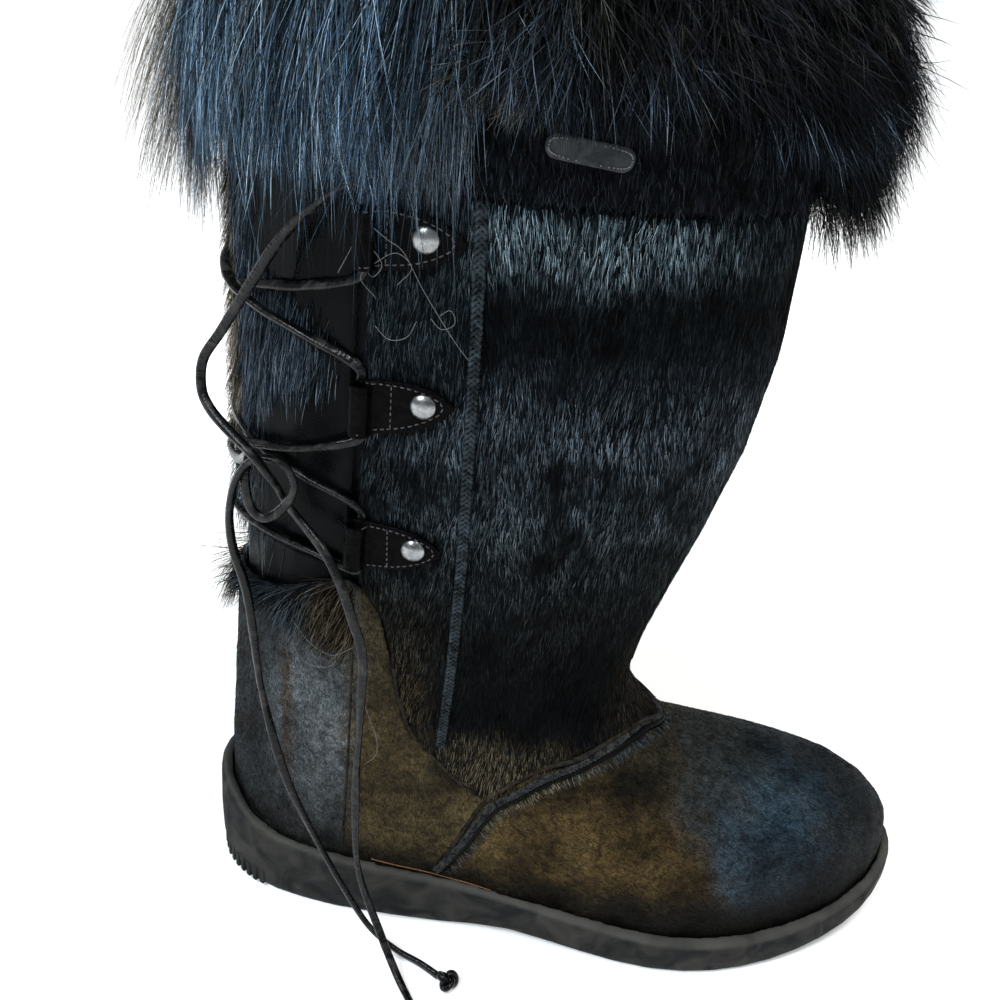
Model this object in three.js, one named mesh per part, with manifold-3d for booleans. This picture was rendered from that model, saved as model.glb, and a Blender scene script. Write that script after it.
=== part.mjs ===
// Right-foot apres-ski boot in hair-on hide: a rubber cup sole, a lasted upper, a tall leg shaft laced down
// its back quarter over a fur gusset, and a long-haired fur cuff folded over the collar.
// Millimetres. +X points to the toe, +Y to the medial side, +Z up. Every piece is worked out with the back
// of the heel at x = 0; the finished boot is then centred, so the origin is on the ground under its middle.
import * as THREE from "three";
import { mergeVertices } from "three/addons/utils/BufferGeometryUtils.js";
import Module from "manifold-3d";

const wasm = await Module();
wasm.setup();

// ---------- driving dimensions ----------
const soleLength = 285;
const cupWall = 4.6; // rubber rim round the upper
const fitGap = 0.35; // left between pieces that touch
const wall = 3; // hide, padding and fleece lining
const insoleThick = 4;
const shaftTop = 287;
const bandTop = 309;
const bandProud = 1.6; // collar band beyond the shaft on each face
const tongueWall = 2.2;
const tabThick = 1.7;
const tabHeights = {
  near: { top: 273, middle: 223.5, bottom: 176.3 },
  far: { top: 273, middle: 223.5, bottom: 176.3 },
};
const tabHalfHigh = 8.8;
const tabRise = { near: { top: 1.8, middle: 4.6, bottom: 1.6 }, far: { top: 2, middle: 2, bottom: 2 } }; // fold to tip
const laceRadius = 1.6;
const tunnelRadius = 2.35;
const rivetRadius = 3.8;
const loopPoints = 24; // round every section of the upper and shaft
const reachPast = 130; // cutters end this far out, beyond every wall

// ---------- small tools ----------
const point = (x, y, z) => new THREE.Vector3(x, y, z);
const clamp01 = (t) => Math.min(1, Math.max(0, t));
const smooth = (low, high, value) => {
  const t = clamp01((value - low) / (high - low));
  return t * t * (3 - 2 * t);
};
const mix = (a, b, t) => a + (b - a) * t;

// Reads a table smoothly: rows are sorted on `key` and every other column is a curve through its rows.
function readTable(rows, key, at) {
  const last = rows.length - 1;
  let i = 0;
  while (i < last - 1 && at > rows[i + 1][key]) i++;
  const before = rows[Math.max(0, i - 1)];
  const [low, high] = [rows[i], rows[i + 1]];
  const after = rows[Math.min(last, i + 2)];
  const span = high[key] - low[key];
  const t = clamp01((at - low[key]) / span);
  const result = {};
  for (const column of Object.keys(low)) {
    const slopeLow = ((high[column] - before[column]) / (high[key] - before[key])) * span;
    const slopeHigh = ((after[column] - low[column]) / (after[key] - low[key])) * span;
    result[column] =
      (2 * t ** 3 - 3 * t ** 2 + 1) * low[column] +
      (t ** 3 - 2 * t ** 2 + t) * slopeLow +
      (3 * t ** 2 - 2 * t ** 3) * high[column] +
      (t ** 3 - t ** 2) * slopeHigh;
  }
  return result;
}

// Skins closed loops of equal count, one after the other. Both ends are closed flat, point j of an end
// loop facing point n - j, or with `ring` the last loop joins the first.
function skinLoops(loops, ring = false) {
  const count = loops[0].length;
  const index = [];
  const wraps = ring ? loops.length : loops.length - 1;
  for (let k = 0; k < wraps; k++) {
    const next = (k + 1) % loops.length;
    for (let j = 0; j < count; j++) {
      const side = (j + 1) % count;
      const [a, b, c, d] = [k * count + j, k * count + side, next * count + side, next * count + j];
      index.push(a, b, c, a, c, d);
    }
  }
  const closeEnd = (start, flip) => {
    for (let j = 0; j < count / 2; j++) {
      const [a, b] = [start + j, start + j + 1];
      const [c, d] = [start + ((count - j - 1) % count), start + ((count - j) % count)];
      for (const [p, q, r] of [[a, c, b], [a, d, c]]) {
        if (p === q || q === r || p === r) continue;
        index.push(...(flip ? [p, r, q] : [p, q, r]));
      }
    }
  };
  if (!ring) {
    closeEnd(0, false);
    closeEnd((loops.length - 1) * count, true);
  }
  const geometry = new THREE.BufferGeometry().setFromPoints(loops.flat());
  geometry.setIndex(index);
  return geometry;
}

// A closed geometry as a solid for cutting and joining, turned outwards if it was inside out.
function solidOf(geometry) {
  const bare = geometry.clone();
  bare.deleteAttribute("normal");
  bare.deleteAttribute("uv");
  const merged = mergeVertices(bare, 1e-3);
  const vertProperties = new Float32Array(merged.attributes.position.array);
  const triVerts = new Uint32Array(merged.index.array);
  const made = new wasm.Manifold(new wasm.Mesh({ numProp: 3, vertProperties, triVerts }));
  if (made.volume() >= 0) return made;
  for (let i = 0; i < triVerts.length; i += 3) [triVerts[i + 1], triVerts[i + 2]] = [triVerts[i + 2], triVerts[i + 1]];
  return new wasm.Manifold(new wasm.Mesh({ numProp: 3, vertProperties, triVerts }));
}

// A solid back as a geometry.
function geometryOf(solid) {
  const mesh = solid.getMesh();
  const positions = new Float32Array(mesh.numVert * 3);
  for (let i = 0; i < mesh.numVert; i++) {
    positions.set(mesh.vertProperties.subarray(i * mesh.numProp, i * mesh.numProp + 3), i * 3);
  }
  const geometry = new THREE.BufferGeometry();
  geometry.setAttribute("position", new THREE.BufferAttribute(positions, 3));
  geometry.setIndex(new THREE.BufferAttribute(new Uint32Array(mesh.triVerts), 1));
  geometry.computeVertexNormals();
  return geometry;
}

// An outline in the XZ plane carried straight across the boot, along Y.
function acrossBoot(outline, from = -reachPast, to = reachPast) {
  const shape = new THREE.Shape(outline.map(([x, z]) => new THREE.Vector2(x, z)));
  const geometry = new THREE.ExtrudeGeometry(shape, { depth: to - from, bevelEnabled: false, steps: 1 });
  geometry.rotateX(Math.PI / 2).translate(0, to, 0);
  return solidOf(geometry);
}

// An outline in the XY plane carried straight up.
function upright(outline, from, to) {
  const shape = new THREE.Shape(outline.map(([x, y]) => new THREE.Vector2(x, y)));
  const geometry = new THREE.ExtrudeGeometry(shape, { depth: to - from, bevelEnabled: false, steps: 1 });
  return solidOf(geometry.translate(0, 0, from));
}

// ---------- sole outline and heights ----------
// Distances from the heel-to-toe line out to the lateral and the medial edge; x from the back of the heel.
const soleOutline = [
  { x: 0, lateral: 0, medial: 0 },
  { x: 4, lateral: 15, medial: 16 },
  { x: 18, lateral: 29, medial: 29 },
  { x: 45, lateral: 38, medial: 36 },
  { x: 80, lateral: 42, medial: 34 },
  { x: 115, lateral: 45, medial: 31 },
  { x: 150, lateral: 52, medial: 37 },
  { x: 185, lateral: 57, medial: 45 },
  { x: 215, lateral: 53, medial: 48 },
  { x: 245, lateral: 42, medial: 43 },
  { x: 268, lateral: 28, medial: 33 },
  { x: 281, lateral: 12, medial: 18 },
  { x: soleLength, lateral: -3, medial: 3 },
];
// Tread underside, floor inside the cup, and top of the rim.
const soleHeights = [
  { x: 0, tread: 8, floor: 18, rim: 47 },
  { x: 8, tread: 2.5, floor: 18, rim: 40.5 },
  { x: 20, tread: 0, floor: 18, rim: 32 },
  { x: 45, tread: 0, floor: 18, rim: 28 },
  { x: 88, tread: 0, floor: 15, rim: 24.5 },
  { x: 105, tread: 1.5, floor: 13.5, rim: 22.5 },
  { x: 125, tread: 3, floor: 12, rim: 20 },
  { x: 145, tread: 1.5, floor: 10, rim: 18 },
  { x: 165, tread: 0, floor: 8, rim: 16.5 },
  { x: 208, tread: 0, floor: 8, rim: 15.5 },
  { x: 245, tread: 3.5, floor: 11.5, rim: 18.5 },
  { x: 270, tread: 10, floor: 17.5, rim: 24.5 },
  { x: soleLength, tread: 15, floor: 22, rim: 28.5 },
];
function soleAt(x) {
  const row = readTable(soleHeights, "x", Math.min(soleLength, Math.max(0, x)));
  return { ...row, tread: Math.max(0, row.tread) };
}

// The outline moved in by `inset`, from the back of the heel along the lateral side and home again.
function soleLoop(inset, count = 60) {
  const lateral = soleOutline.map((row) => point(row.x, -row.lateral, 0));
  const medial = soleOutline.slice(1, -1).reverse().map((row) => point(row.x, row.medial, 0));
  const edge = new THREE.CatmullRomCurve3([...lateral, ...medial], true);
  return Array.from({ length: count }, (_, j) => {
    const along = edge.getTangent(j / count);
    const at = edge.getPoint(j / count);
    return point(at.x - along.y * inset, at.y + along.x * inset, 0);
  });
}

// How far the sole reaches to one side at x, on the outline moved in by `inset`.
const fineOutline = soleLoop(0, 240);
function halfSole(side, x, inset) {
  const scaled = ((x - inset) * soleLength) / (soleLength - 2 * inset);
  const half = fineOutline.length / 2;
  const edge = side === "lateral" ? fineOutline.slice(0, half + 1) : [fineOutline[0], ...fineOutline.slice(half).reverse()];
  const i = Math.max(1, edge.findIndex((p) => p.x >= scaled));
  const [a, b] = [edge[i - 1], edge[i]];
  const y = mix(a.y, b.y, clamp01((scaled - a.x) / (b.x - a.x)));
  const narrowed = 1 - inset / 45;
  return (side === "lateral" ? -y : y) * narrowed;
}

// ---------- outer form of the foot and leg ----------
// One row for each section of the last, from the toe tip over the instep and up the leg. A section is a
// slanted cut: it runs from `top` on the front or instep to `base` underneath or on the back. `crown` is
// the part of that way over which it rounds out to its full width.
const lastSections = [
  { topX: 280.2, topZ: 36, baseX: 280.2, baseZ: 10, crown: 0.6 },
  { topX: 279, topZ: 40.5, baseX: 279, baseZ: 8, crown: 0.6 },
  { topX: 275.5, topZ: 46, baseX: 275.5, baseZ: 6, crown: 0.62 },
  { topX: 268, topZ: 53, baseX: 268, baseZ: 4, crown: 0.65 },
  { topX: 254, topZ: 60, baseX: 254, baseZ: 1, crown: 0.68 },
  { topX: 232, topZ: 65.5, baseX: 231, baseZ: 0, crown: 0.7 },
  { topX: 206, topZ: 71, baseX: 198, baseZ: 0, crown: 0.72 },
  { topX: 189, topZ: 75.5, baseX: 165, baseZ: 0, crown: 0.72 },
  { topX: 176.5, topZ: 81, baseX: 126, baseZ: 2, crown: 0.7 },
  { topX: 167, topZ: 89.5, baseX: 86, baseZ: 4, crown: 0.66 },
  { topX: 161, topZ: 99.5, baseX: 48, baseZ: 5, crown: 0.62 },
  { topX: 158.8, topZ: 110, baseX: 18, baseZ: 8, crown: 0.58 },
  { topX: 159, topZ: 121, baseX: 4.9, baseZ: 30, crown: 0.55 },
  { topX: 161.5, topZ: 134, baseX: 5.2, baseZ: 62, crown: 0.52 },
  { topX: 166.5, topZ: 153, baseX: 7.6, baseZ: 100, crown: 0.5 },
  { topX: 173.5, topZ: 177, baseX: 9, baseZ: 147, crown: 0.5 },
  { topX: 181, topZ: 208, baseX: 10, baseZ: 196, crown: 0.5 },
  { topX: 184.5, topZ: 241, baseX: 10.2, baseZ: 238, crown: 0.5 },
  { topX: 183.5, topZ: 272, baseX: 9.8, baseZ: 272, crown: 0.5 },
  { topX: 181, topZ: 318, baseX: 8, baseZ: 318, crown: 0.5 },
];
const legHalfWidths = [
  { z: 0, half: 36 },
  { z: 60, half: 38 },
  { z: 100, half: 41.5 },
  { z: 140, half: 45 },
  { z: 200, half: 49 },
  { z: 260, half: 51 },
  { z: 320, half: 52 },
];
const crownPower = 2.25; // 2 rounds the top like an ellipse, more is fuller
const legMiddle = 96; // X of the leg's widest point

// X of the back of the heel and leg at a height.
function backOfLeg(z) {
  const backRows = lastSections.filter((row) => row.baseX < 15).map((row) => ({ z: row.baseZ, x: row.baseX }));
  return readTable(backRows, "z", z).x;
}

// Full half width at a point of the side view: the sole's plan low down, the leg's oval high up.
function halfWidth(side, x, z) {
  const back = backOfLeg(Math.max(z, lastSections[12].baseZ));
  const heelShare = 1 - smooth(30, 110, x);
  const sole = halfSole(side, x - (back - cupWall) * heelShare, cupWall);
  const behind = clamp01((legMiddle - x) / (legMiddle - back));
  const leg = readTable(legHalfWidths, "z", z).half * Math.sqrt(Math.max(0, 1 - behind ** 2));
  return mix(sole, leg, smooth(18, 125, z) * (1 - smooth(150, 205, x)));
}

// Row number of the last at which a section sits; whole numbers are the rows of the table.
const lastTable = lastSections.map((row, station) => ({ station, ...row }));
function sectionLoop(station) {
  const section = readTable(lastTable, "station", station);
  return Array.from({ length: loopPoints }, (_, j) => {
    const turn = (2 * Math.PI * j) / loopPoints;
    const down = (1 - Math.cos(turn)) / 2;
    const x = mix(section.topX, section.baseX, down);
    const z = mix(section.topZ, section.baseZ, down);
    const rise = 1 - clamp01(down / section.crown);
    const round = (1 - rise ** crownPower) ** (1 / crownPower);
    const ridge = 3 * smooth(120, 260, x);
    const across = Math.sign(Math.round(Math.sin(turn) * 1e6));
    if (across === 0) return point(x, ridge, z);
    const edge = across > 0 ? -halfWidth("lateral", x, z) : halfWidth("medial", x, z);
    return point(x, mix(ridge, edge, round), z);
  });
}

// Long steps of the table are halved.
const stations = lastSections.flatMap((_, row) => ((row > 3 && row < 8) || row === 11 ? [row, row + 0.5] : [row]));
const outerLoops = stations.map(sectionLoop);

// The outward direction at each point of the outer loops.
const outerNormals = outerLoops.map((loop, k) =>
  loop.map((_, j) => {
    const ahead = outerLoops[Math.min(k + 1, outerLoops.length - 1)][j];
    const behind = outerLoops[Math.max(k - 1, 0)][j];
    const right = loop[(j + 1) % loopPoints];
    const left = loop[(j + loopPoints - 1) % loopPoints];
    const normal = ahead.clone().sub(behind).cross(right.clone().sub(left)).normalize();
    if (k === 0) normal.add(point(1, 0, 0)).normalize();
    return normal;
  }),
);

// The filled foot and leg, its surface moved out by `out`.
const bodyCache = new Map();
function body(out) {
  if (!bodyCache.has(out)) {
    const loops = outerLoops.map((loop, k) => loop.map((p, j) => p.clone().addScaledVector(outerNormals[k][j], out)));
    bodyCache.set(out, solidOf(skinLoops(loops)));
  }
  return bodyCache.get(out);
}
const shell = (out, inner) => body(out).subtract(body(inner));


// A point of the leg's oval at a height: turn 0 is the centre back, 90 lateral, 180 front, 270 medial.
const legRows = lastSections.filter((row) => row.topZ >= 134);
const frontOfLeg = (z) => readTable(legRows.map((row) => ({ z: row.topZ, x: row.topX })), "z", z).x;
function ovalPoint(turn, z) {
  const angle = THREE.MathUtils.degToRad(turn);
  const half = readTable(legHalfWidths, "z", z).half;
  const forward = -Math.cos(angle);
  const x = legMiddle + forward * (forward > 0 ? frontOfLeg(z) - legMiddle : legMiddle - backOfLeg(z));
  const power = forward > 0 ? crownPower : 2;
  const round = Math.max(0, 1 - Math.abs(forward) ** power) ** (1 / power);
  return point(x, -Math.sign(Math.sin(angle)) * round * half, z);
}
function legFrame(turn, z) {
  const along = ovalPoint(turn + 0.5, z).sub(ovalPoint(turn - 0.5, z)).normalize();
  return { at: ovalPoint(turn, z), along, out: point(along.y, -along.x, 0).normalize() };
}
function legPoint(turn, z, out = 0) {
  const frame = legFrame(turn, z);
  return frame.at.addScaledVector(frame.out, out);
}

// Solid tube along a list of [x, y, z] points, or of points.
function tube(route, radius, steps, sides = 8) {
  const path = new THREE.CatmullRomCurve3(route.map((p) => (p.isVector3 ? p : point(...p))), false, "centripetal");
  const section = new THREE.Shape(
    Array.from({ length: sides }, (_, i) => {
      const angle = (2 * Math.PI * i) / sides;
      return new THREE.Vector2(radius * Math.cos(angle), radius * Math.sin(angle));
    }),
  );
  return new THREE.ExtrudeGeometry(section, { steps, extrudePath: path, bevelEnabled: false });
}

const boot = new THREE.Group();
function addPiece(name, geometry, color, roughness, metalness = 0) {
  const mesh = new THREE.Mesh(geometry, new THREE.MeshStandardMaterial({ color, roughness, metalness }));
  mesh.name = name;
  boot.add(mesh);
}

// ---------- outsole: cup with raised heel, lugs and toe spring ----------
// Each row is one loop up the outside of the cup: how far in, and how far from the tread up to the rim.
const cupLoops = [
  { inset: 2, rise: 0 },
  { inset: 0.4, rise: 0.12 },
  { inset: 0, rise: 0.4 },
  { inset: 0.3, rise: 0.88 },
  { inset: 1.8, rise: 1 },
];
const insideFloor = (extra) => {
  const loops = [-60, extra].map((level) =>
    soleLoop(-20, 24).map((p) => point(p.x, p.y, level < 0 ? level : soleAt(p.x).floor + extra)),
  );
  return solidOf(skinLoops(loops));
};
const lugZones = [
  { from: 14, to: 88, pitch: 10.5 },
  { from: 158, to: 250, pitch: 11.5 },
];
const grooveDeep = 3.2;
const grooveWide = 3.6;
const lugBorder = 7; // plain rubber left round the lugs
function lugGrooves() {
  const field = soleLoop(lugBorder).map((p) => [p.x, p.y]);
  const inField = upright(field, -20, 40);
  let cuts = null;
  for (const zone of lugZones) {
    for (let x = zone.from; x <= zone.to; x += zone.pitch) {
      const tread = soleAt(x).tread;
      const bar = [
        [x - grooveWide / 2, -5],
        [x + grooveWide / 2, -5],
        [x + grooveWide / 2 - 0.5, tread + grooveDeep],
        [x - grooveWide / 2 + 0.5, tread + grooveDeep],
      ];
      const groove = acrossBoot(bar).intersect(inField);
      cuts = cuts ? cuts.add(groove) : groove;
    }
  }
  return cuts;
}
// Small teeth round the bevel at the back of the heel.
function heelTeeth() {
  let cuts = null;
  for (const { x, z } of [{ x: -0.4, z: 11 }, { x: 1.6, z: 7 }, { x: 4.6, z: 3.6 }, { x: 8.6, z: 1.2 }]) {
    const notch = acrossBoot([[x - 2.6, z - 1.6], [x + 1, z - 0.2], [x - 1.2, z + 1.6]]);
    cuts = cuts ? cuts.add(notch) : notch;
  }
  return cuts;
}
const cupBlank = solidOf(
  skinLoops(
    cupLoops.map(({ inset, rise }) =>
      soleLoop(inset).map((p) => {
        const { tread, rim } = soleAt(p.x);
        return point(p.x, p.y, mix(tread, rim, rise));
      }),
    ),
  ),
);
const cupRoom = body(fitGap).subtract(insideFloor(0));
addPiece("outsole", geometryOf(cupBlank.subtract(cupRoom).subtract(lugGrooves()).subtract(heelTeeth())), 0x2b2d30, 0.75);

// ---------- upper and shaft: one wall, parted along the seam over the quarter ----------
// The seam in side view, from behind the heel down to its point on the quarter and up to the throat.
const seamPath = [
  [-40, 138],
  [-5, 139],
  [25, 144],
  [48, 157],
  [58, 158],
  [66, 145],
  [71, 120],
  [77, 97],
  [91, 80],
  [107.5, 63.5],
  [126, 78.5],
  [156, 87.5],
  [170, 85],
  [182, 84],
  [300, 92],
];
const seamSteps = 20;
const seamPoints = new THREE.SplineCurve(seamPath.map(([x, z]) => new THREE.Vector2(x, z))).getPoints(seamSteps);
// The seam moved to one side by half the gap, every stretch of it by the same amount.
function seamLine(side) {
  return seamPoints.map((at, i) => {
    const before = seamPoints[Math.max(0, i - 1)];
    const after = seamPoints[Math.min(seamSteps, i + 1)];
    const into = at.clone().sub(before).normalize();
    const onward = after.clone().sub(at).normalize();
    if (i === 0) into.copy(onward);
    if (i === seamSteps) onward.copy(into);
    const miter = into.clone().add(onward).normalize();
    const reach = (side * fitGap) / 2 / Math.max(0.3, miter.dot(onward));
    return [at.x - miter.y * reach, at.y + miter.x * reach];
  });
}
const aboveSeam = acrossBoot([...seamLine(1), [300, 500], [-40, 500]]);
const belowSeam = acrossBoot([...seamLine(-1), [300, -60], [-40, -60]]);
const walls = shell(0, -wall);
addPiece("upper", geometryOf(walls.intersect(belowSeam).subtract(insideFloor(fitGap))), 0x4a4032, 0.8);

// The lacing opens the shaft between two upright panel edges.
const edges = { near: { turn: 62.2, forward: 1 }, far: { turn: -12, forward: -1 } };
function lacingSlot(spare) {
  const near = legFrame(edges.near.turn - spare, 225);
  const far = legFrame(edges.far.turn + spare, 225);
  const step = (frame, out) => {
    const at = frame.at.clone().addScaledVector(frame.out, out);
    return [at.x, at.y];
  };
  return upright([step(near, -16), step(near, 40), [-60, -100], step(far, 40), step(far, -16)], 120, 400);
}
const shaftSolid = walls.intersect(aboveSeam).intersect(acrossBoot([[-60, 50], [400, 50], [400, shaftTop], [-60, shaftTop]]));

// ---------- lace tabs with folded tunnels, and their rivets ----------
const degreesPerMm = { near: 0.685, far: 1.15 }; // round the oval at each panel edge
const tabOutline = [
  { along: -1.2, half: 0.9 },
  { along: 4, half: 0.98 },
  { along: 9, half: 0.96 },
  { along: 14, half: 0.9 },
  { along: 18, half: 0.8 },
  { along: 22, half: 0.62 },
  { along: 25.5, half: 0.36 },
  { along: 28, half: 0.1 },
];
const tunnelAlong = 1.2;
const tunnelWall = 1;
const tunnelOut = fitGap + tunnelWall + tunnelRadius;
const tunnelLength = tabHalfHigh * 2 - 1;

function tabTurn(side, along) {
  return edges[side].turn + edges[side].forward * along * degreesPerMm[side];
}
const tabMiddle = (side, level, along) => tabHeights[side][level] + (tabRise[side][level] * Math.max(0, along)) / 28;
function barAlong(from, to, radius, sides) {
  const direction = to.clone().sub(from);
  const bar = new THREE.CylinderGeometry(radius, radius, direction.length(), sides);
  const turned = new THREE.Quaternion().setFromUnitVectors(point(0, 1, 0), direction.clone().normalize());
  bar.applyQuaternion(turned).translate(...from.clone().add(to).multiplyScalar(0.5).toArray());
  return solidOf(bar);
}
function tabSolid(side, level) {
  const loops = tabOutline.map(({ along, half }) => {
    const turn = tabTurn(side, along);
    const middle = tabMiddle(side, level, along);
    const [low, high] = [middle - half * tabHalfHigh, middle + half * tabHalfHigh];
    return [
      legPoint(turn, low, fitGap),
      legPoint(turn, low, fitGap + tabThick),
      legPoint(turn, high, fitGap + tabThick),
      legPoint(turn, high, fitGap),
    ];
  });
  const turn = tabTurn(side, tunnelAlong);
  const fold = tabHeights[side][level];
  const [low, high] = [fold - tunnelLength / 2, fold + tunnelLength / 2];
  const roll = barAlong(legPoint(turn, low, tunnelOut), legPoint(turn, high, tunnelOut), tunnelRadius + tunnelWall, 8);
  const hole = barAlong(legPoint(turn, low - 5, tunnelOut), legPoint(turn, high + 5, tunnelOut), tunnelRadius, 8);
  return solidOf(skinLoops(loops)).add(roll).subtract(hole);
}
const rivetAlong = { near: { top: 17.7, middle: 19.9, bottom: 20 }, far: { top: 15, middle: 15, bottom: 15 } };
const rivetUp = 0.9; // above the tab's own middle line
const rivetPost = 1.5;
function rivetParts(side, level) {
  const along = rivetAlong[side][level];
  const frame = legFrame(tabTurn(side, along), tabMiddle(side, level, along) + rivetUp);
  const upTo = fitGap + tabThick + 0.3;
  const downTo = -wall - 1.1;
  const profile = [
    [0, downTo - 1],
    [rivetRadius - 1, downTo - 1],
    [rivetRadius - 1, downTo],
    [rivetPost, downTo],
    [rivetPost, upTo],
    [rivetRadius, upTo],
    [rivetRadius, upTo + 0.7],
    [rivetRadius * 0.68, upTo + 1.8],
    [0, upTo + 2.3],
  ];
  const turned = new THREE.Quaternion().setFromUnitVectors(point(0, 1, 0), frame.out);
  const lathe = new THREE.LatheGeometry(profile.map(([r, h]) => new THREE.Vector2(r, h)), 8);
  lathe.applyQuaternion(turned).translate(...frame.at.toArray());
  const hole = barAlong(
    frame.at.clone().addScaledVector(frame.out, -12),
    frame.at.clone().addScaledVector(frame.out, 12),
    rivetPost + 0.45,
    8,
  );
  return { lathe, hole };
}
let shaftCut = shaftSolid.subtract(lacingSlot(0));
for (const side of ["near", "far"]) {
  for (const level of Object.keys(tabHeights[side])) {
    const { lathe, hole } = rivetParts(side, level);
    shaftCut = shaftCut.subtract(hole);
    addPiece(`tab_${side}_${level}`, geometryOf(tabSolid(side, level).subtract(hole)), 0x17171a, 0.4);
    addPiece(`rivet_${side}_${level}`, lathe, 0xb8bcc0, 0.3, 1);
  }
}
addPiece("shaft", geometryOf(shaftCut), 0x15181e, 0.7);

// ---------- tongue: fur gusset filling the slot, with flanges under both panels ----------
const tongueLow = 120;
const flangeOut = -wall - fitGap;
const tongueBand = acrossBoot([[-60, tongueLow], [200, tongueLow], [200, shaftTop - fitGap], [-60, shaftTop - fitGap]]);
const flanges = shell(flangeOut, flangeOut - tongueWall).intersect(lacingSlot(-8));
const slotFill = shell(-0.6, flangeOut - tongueWall).intersect(lacingSlot(2.2)).intersect(
  acrossBoot([[-60, 163], [200, 163], [200, shaftTop - fitGap], [-60, shaftTop - fitGap]]),
);
addPiece("tongue", geometryOf(flanges.add(slotFill).intersect(tongueBand)), 0x1b222c, 0.6);

// ---------- insole ----------
const footbed = body(-wall - fitGap).intersect(insideFloor(fitGap + insoleThick)).subtract(insideFloor(fitGap));
addPiece("insole", geometryOf(footbed), 0x3a3632, 0.9);

// ---------- collar band, label plate and fur cuff ----------
const bandLow = shaftTop + fitGap;
const bandSolid = shell(bandProud, -wall - bandProud).intersect(
  acrossBoot([[-60, bandLow], [400, bandLow], [400, bandTop], [-60, bandTop]]),
);
addPiece("collar_band", geometryOf(bandSolid), 0x121316, 0.55);

const label = { middle: 111, high: 301.2, long: 23, tall: 6.4, tilt: -6 };
function labelPlate() {
  const shape = new THREE.Shape();
  const [halfLong, r] = [label.long / 2, label.tall / 2];
  shape.absarc(halfLong - r, 0, r, -Math.PI / 2, Math.PI / 2, false);
  shape.absarc(-halfLong + r, 0, r, Math.PI / 2, (3 * Math.PI) / 2, false);
  const bar = new THREE.ExtrudeGeometry(shape, { depth: 60, bevelEnabled: false, curveSegments: 5 });
  bar.rotateZ(THREE.MathUtils.degToRad(label.tilt)).rotateX(Math.PI / 2).translate(label.middle, -20, label.high);
  const seat = bandProud + fitGap;
  return shell(seat + 1.2, seat).intersect(solidOf(bar));
}
addPiece("label_plate", geometryOf(labelPlate()), 0x3a3c3e, 0.45);

// The cuff's lowest fur, its top, and how far the deep fur stands out, round the leg.
const cuffRows = [
  { turn: 0, low: 298, reach: 20, high: 350 },
  { turn: 40, low: 298, reach: 18, high: 350 },
  { turn: 65, low: 300, reach: 17, high: 350 },
  { turn: 86, low: 308, reach: 16, high: 350 },
  { turn: 112, low: 309, reach: 16, high: 350 },
  { turn: 132, low: 300, reach: 19, high: 351 },
  { turn: 155, low: 286, reach: 25, high: 352 },
  { turn: 180, low: 277, reach: 28, high: 352 },
  { turn: 205, low: 282, reach: 25, high: 352 },
  { turn: 250, low: 292, reach: 18, high: 351 },
  { turn: 315, low: 298, reach: 17, high: 350 },
  { turn: 360, low: 298, reach: 20, high: 350 },
];
const cuffSteps = 32;
const insideBand = bandProud + 1.2;
const cuffLoops = Array.from({ length: cuffSteps }, (_, i) => {
  const turn = (360 * i) / cuffSteps;
  const { low, reach, high } = readTable(cuffRows, "turn", turn);
  const overBand = bandTop + fitGap;
  return [
    [insideBand, low + 1.5],
    [reach * 0.45, low],
    [reach * 0.84, low + 4],
    [reach, low + 16],
    [reach * 0.96, high - 20],
    [reach * 0.7, high - 5],
    [reach * 0.2, high],
    [-3.5, high - 4],
    [-4.5, overBand + 10],
    [-4.5, overBand],
    [insideBand, overBand],
  ].map(([out, z]) => legPoint(turn, z, out));
});
addPiece("fur_cuff", geometryOf(solidOf(skinLoops(cuffLoops, true))), 0x20262e, 0.7);

// ---------- lace: the part held by the tabs, then the free ends ----------
const laceLow = 1.9; // centre line above the leg where a strand lies on the gusset
const laceOver = 4.7; // and where it lies over the other strand
const nearTunnel = tabTurn("near", tunnelAlong);
const farTunnel = tabTurn("far", tunnelAlong);
const tunnelTurn = { near: nearTunnel, far: farTunnel };
const pastTab = tabHalfHigh + 2;
function throughTab(side, level, downwards) {
  const z = tabHeights[side][level];
  const ends = [-pastTab, -tabHalfHigh + 2, tabHalfHigh - 2, pastTab].map((up) => z + up);
  if (downwards) ends.reverse();
  return ends.map((height) => legPoint(tunnelTurn[side], height, tunnelOut));
}
function acrossGusset(from, to, lift, bow = 0) {
  const bend = 3; // drop or rise of the lace just outside a tab
  const steps = [0.16, 0.33, 0.5, 0.67, 0.84];
  const start = from.z;
  const heading = Math.sign(to.z - from.z) * bend;
  return steps.map((t) => {
    const turn = mix(tunnelTurn[from.side], tunnelTurn[to.side], t);
    const z = mix(start + heading, to.z - heading, t) + bow * Math.sin(Math.PI * t ** 0.7);
    const out = t === 0.5 ? lift : mix(laceLow, lift, t > 0.3 && t < 0.7 ? 0.6 : 0.1);
    return legPoint(turn, z, out);
  });
}
const tabMouth = (side, level, end) => ({ side, z: tabHeights[side][level] + end * (pastTab + 0.6) });
const laceA = [
  ...throughTab("near", "top", true),
  ...acrossGusset(tabMouth("near", "top", -1), tabMouth("far", "middle", 1), laceLow),
  ...throughTab("far", "middle", true),
  ...acrossGusset(tabMouth("far", "middle", -1), tabMouth("near", "bottom", 1), laceLow),
  ...throughTab("near", "bottom", true),
  ...acrossGusset(tabMouth("near", "bottom", -1), tabMouth("far", "bottom", -1), laceLow, 3.2),
  ...throughTab("far", "bottom", false),
];
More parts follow.
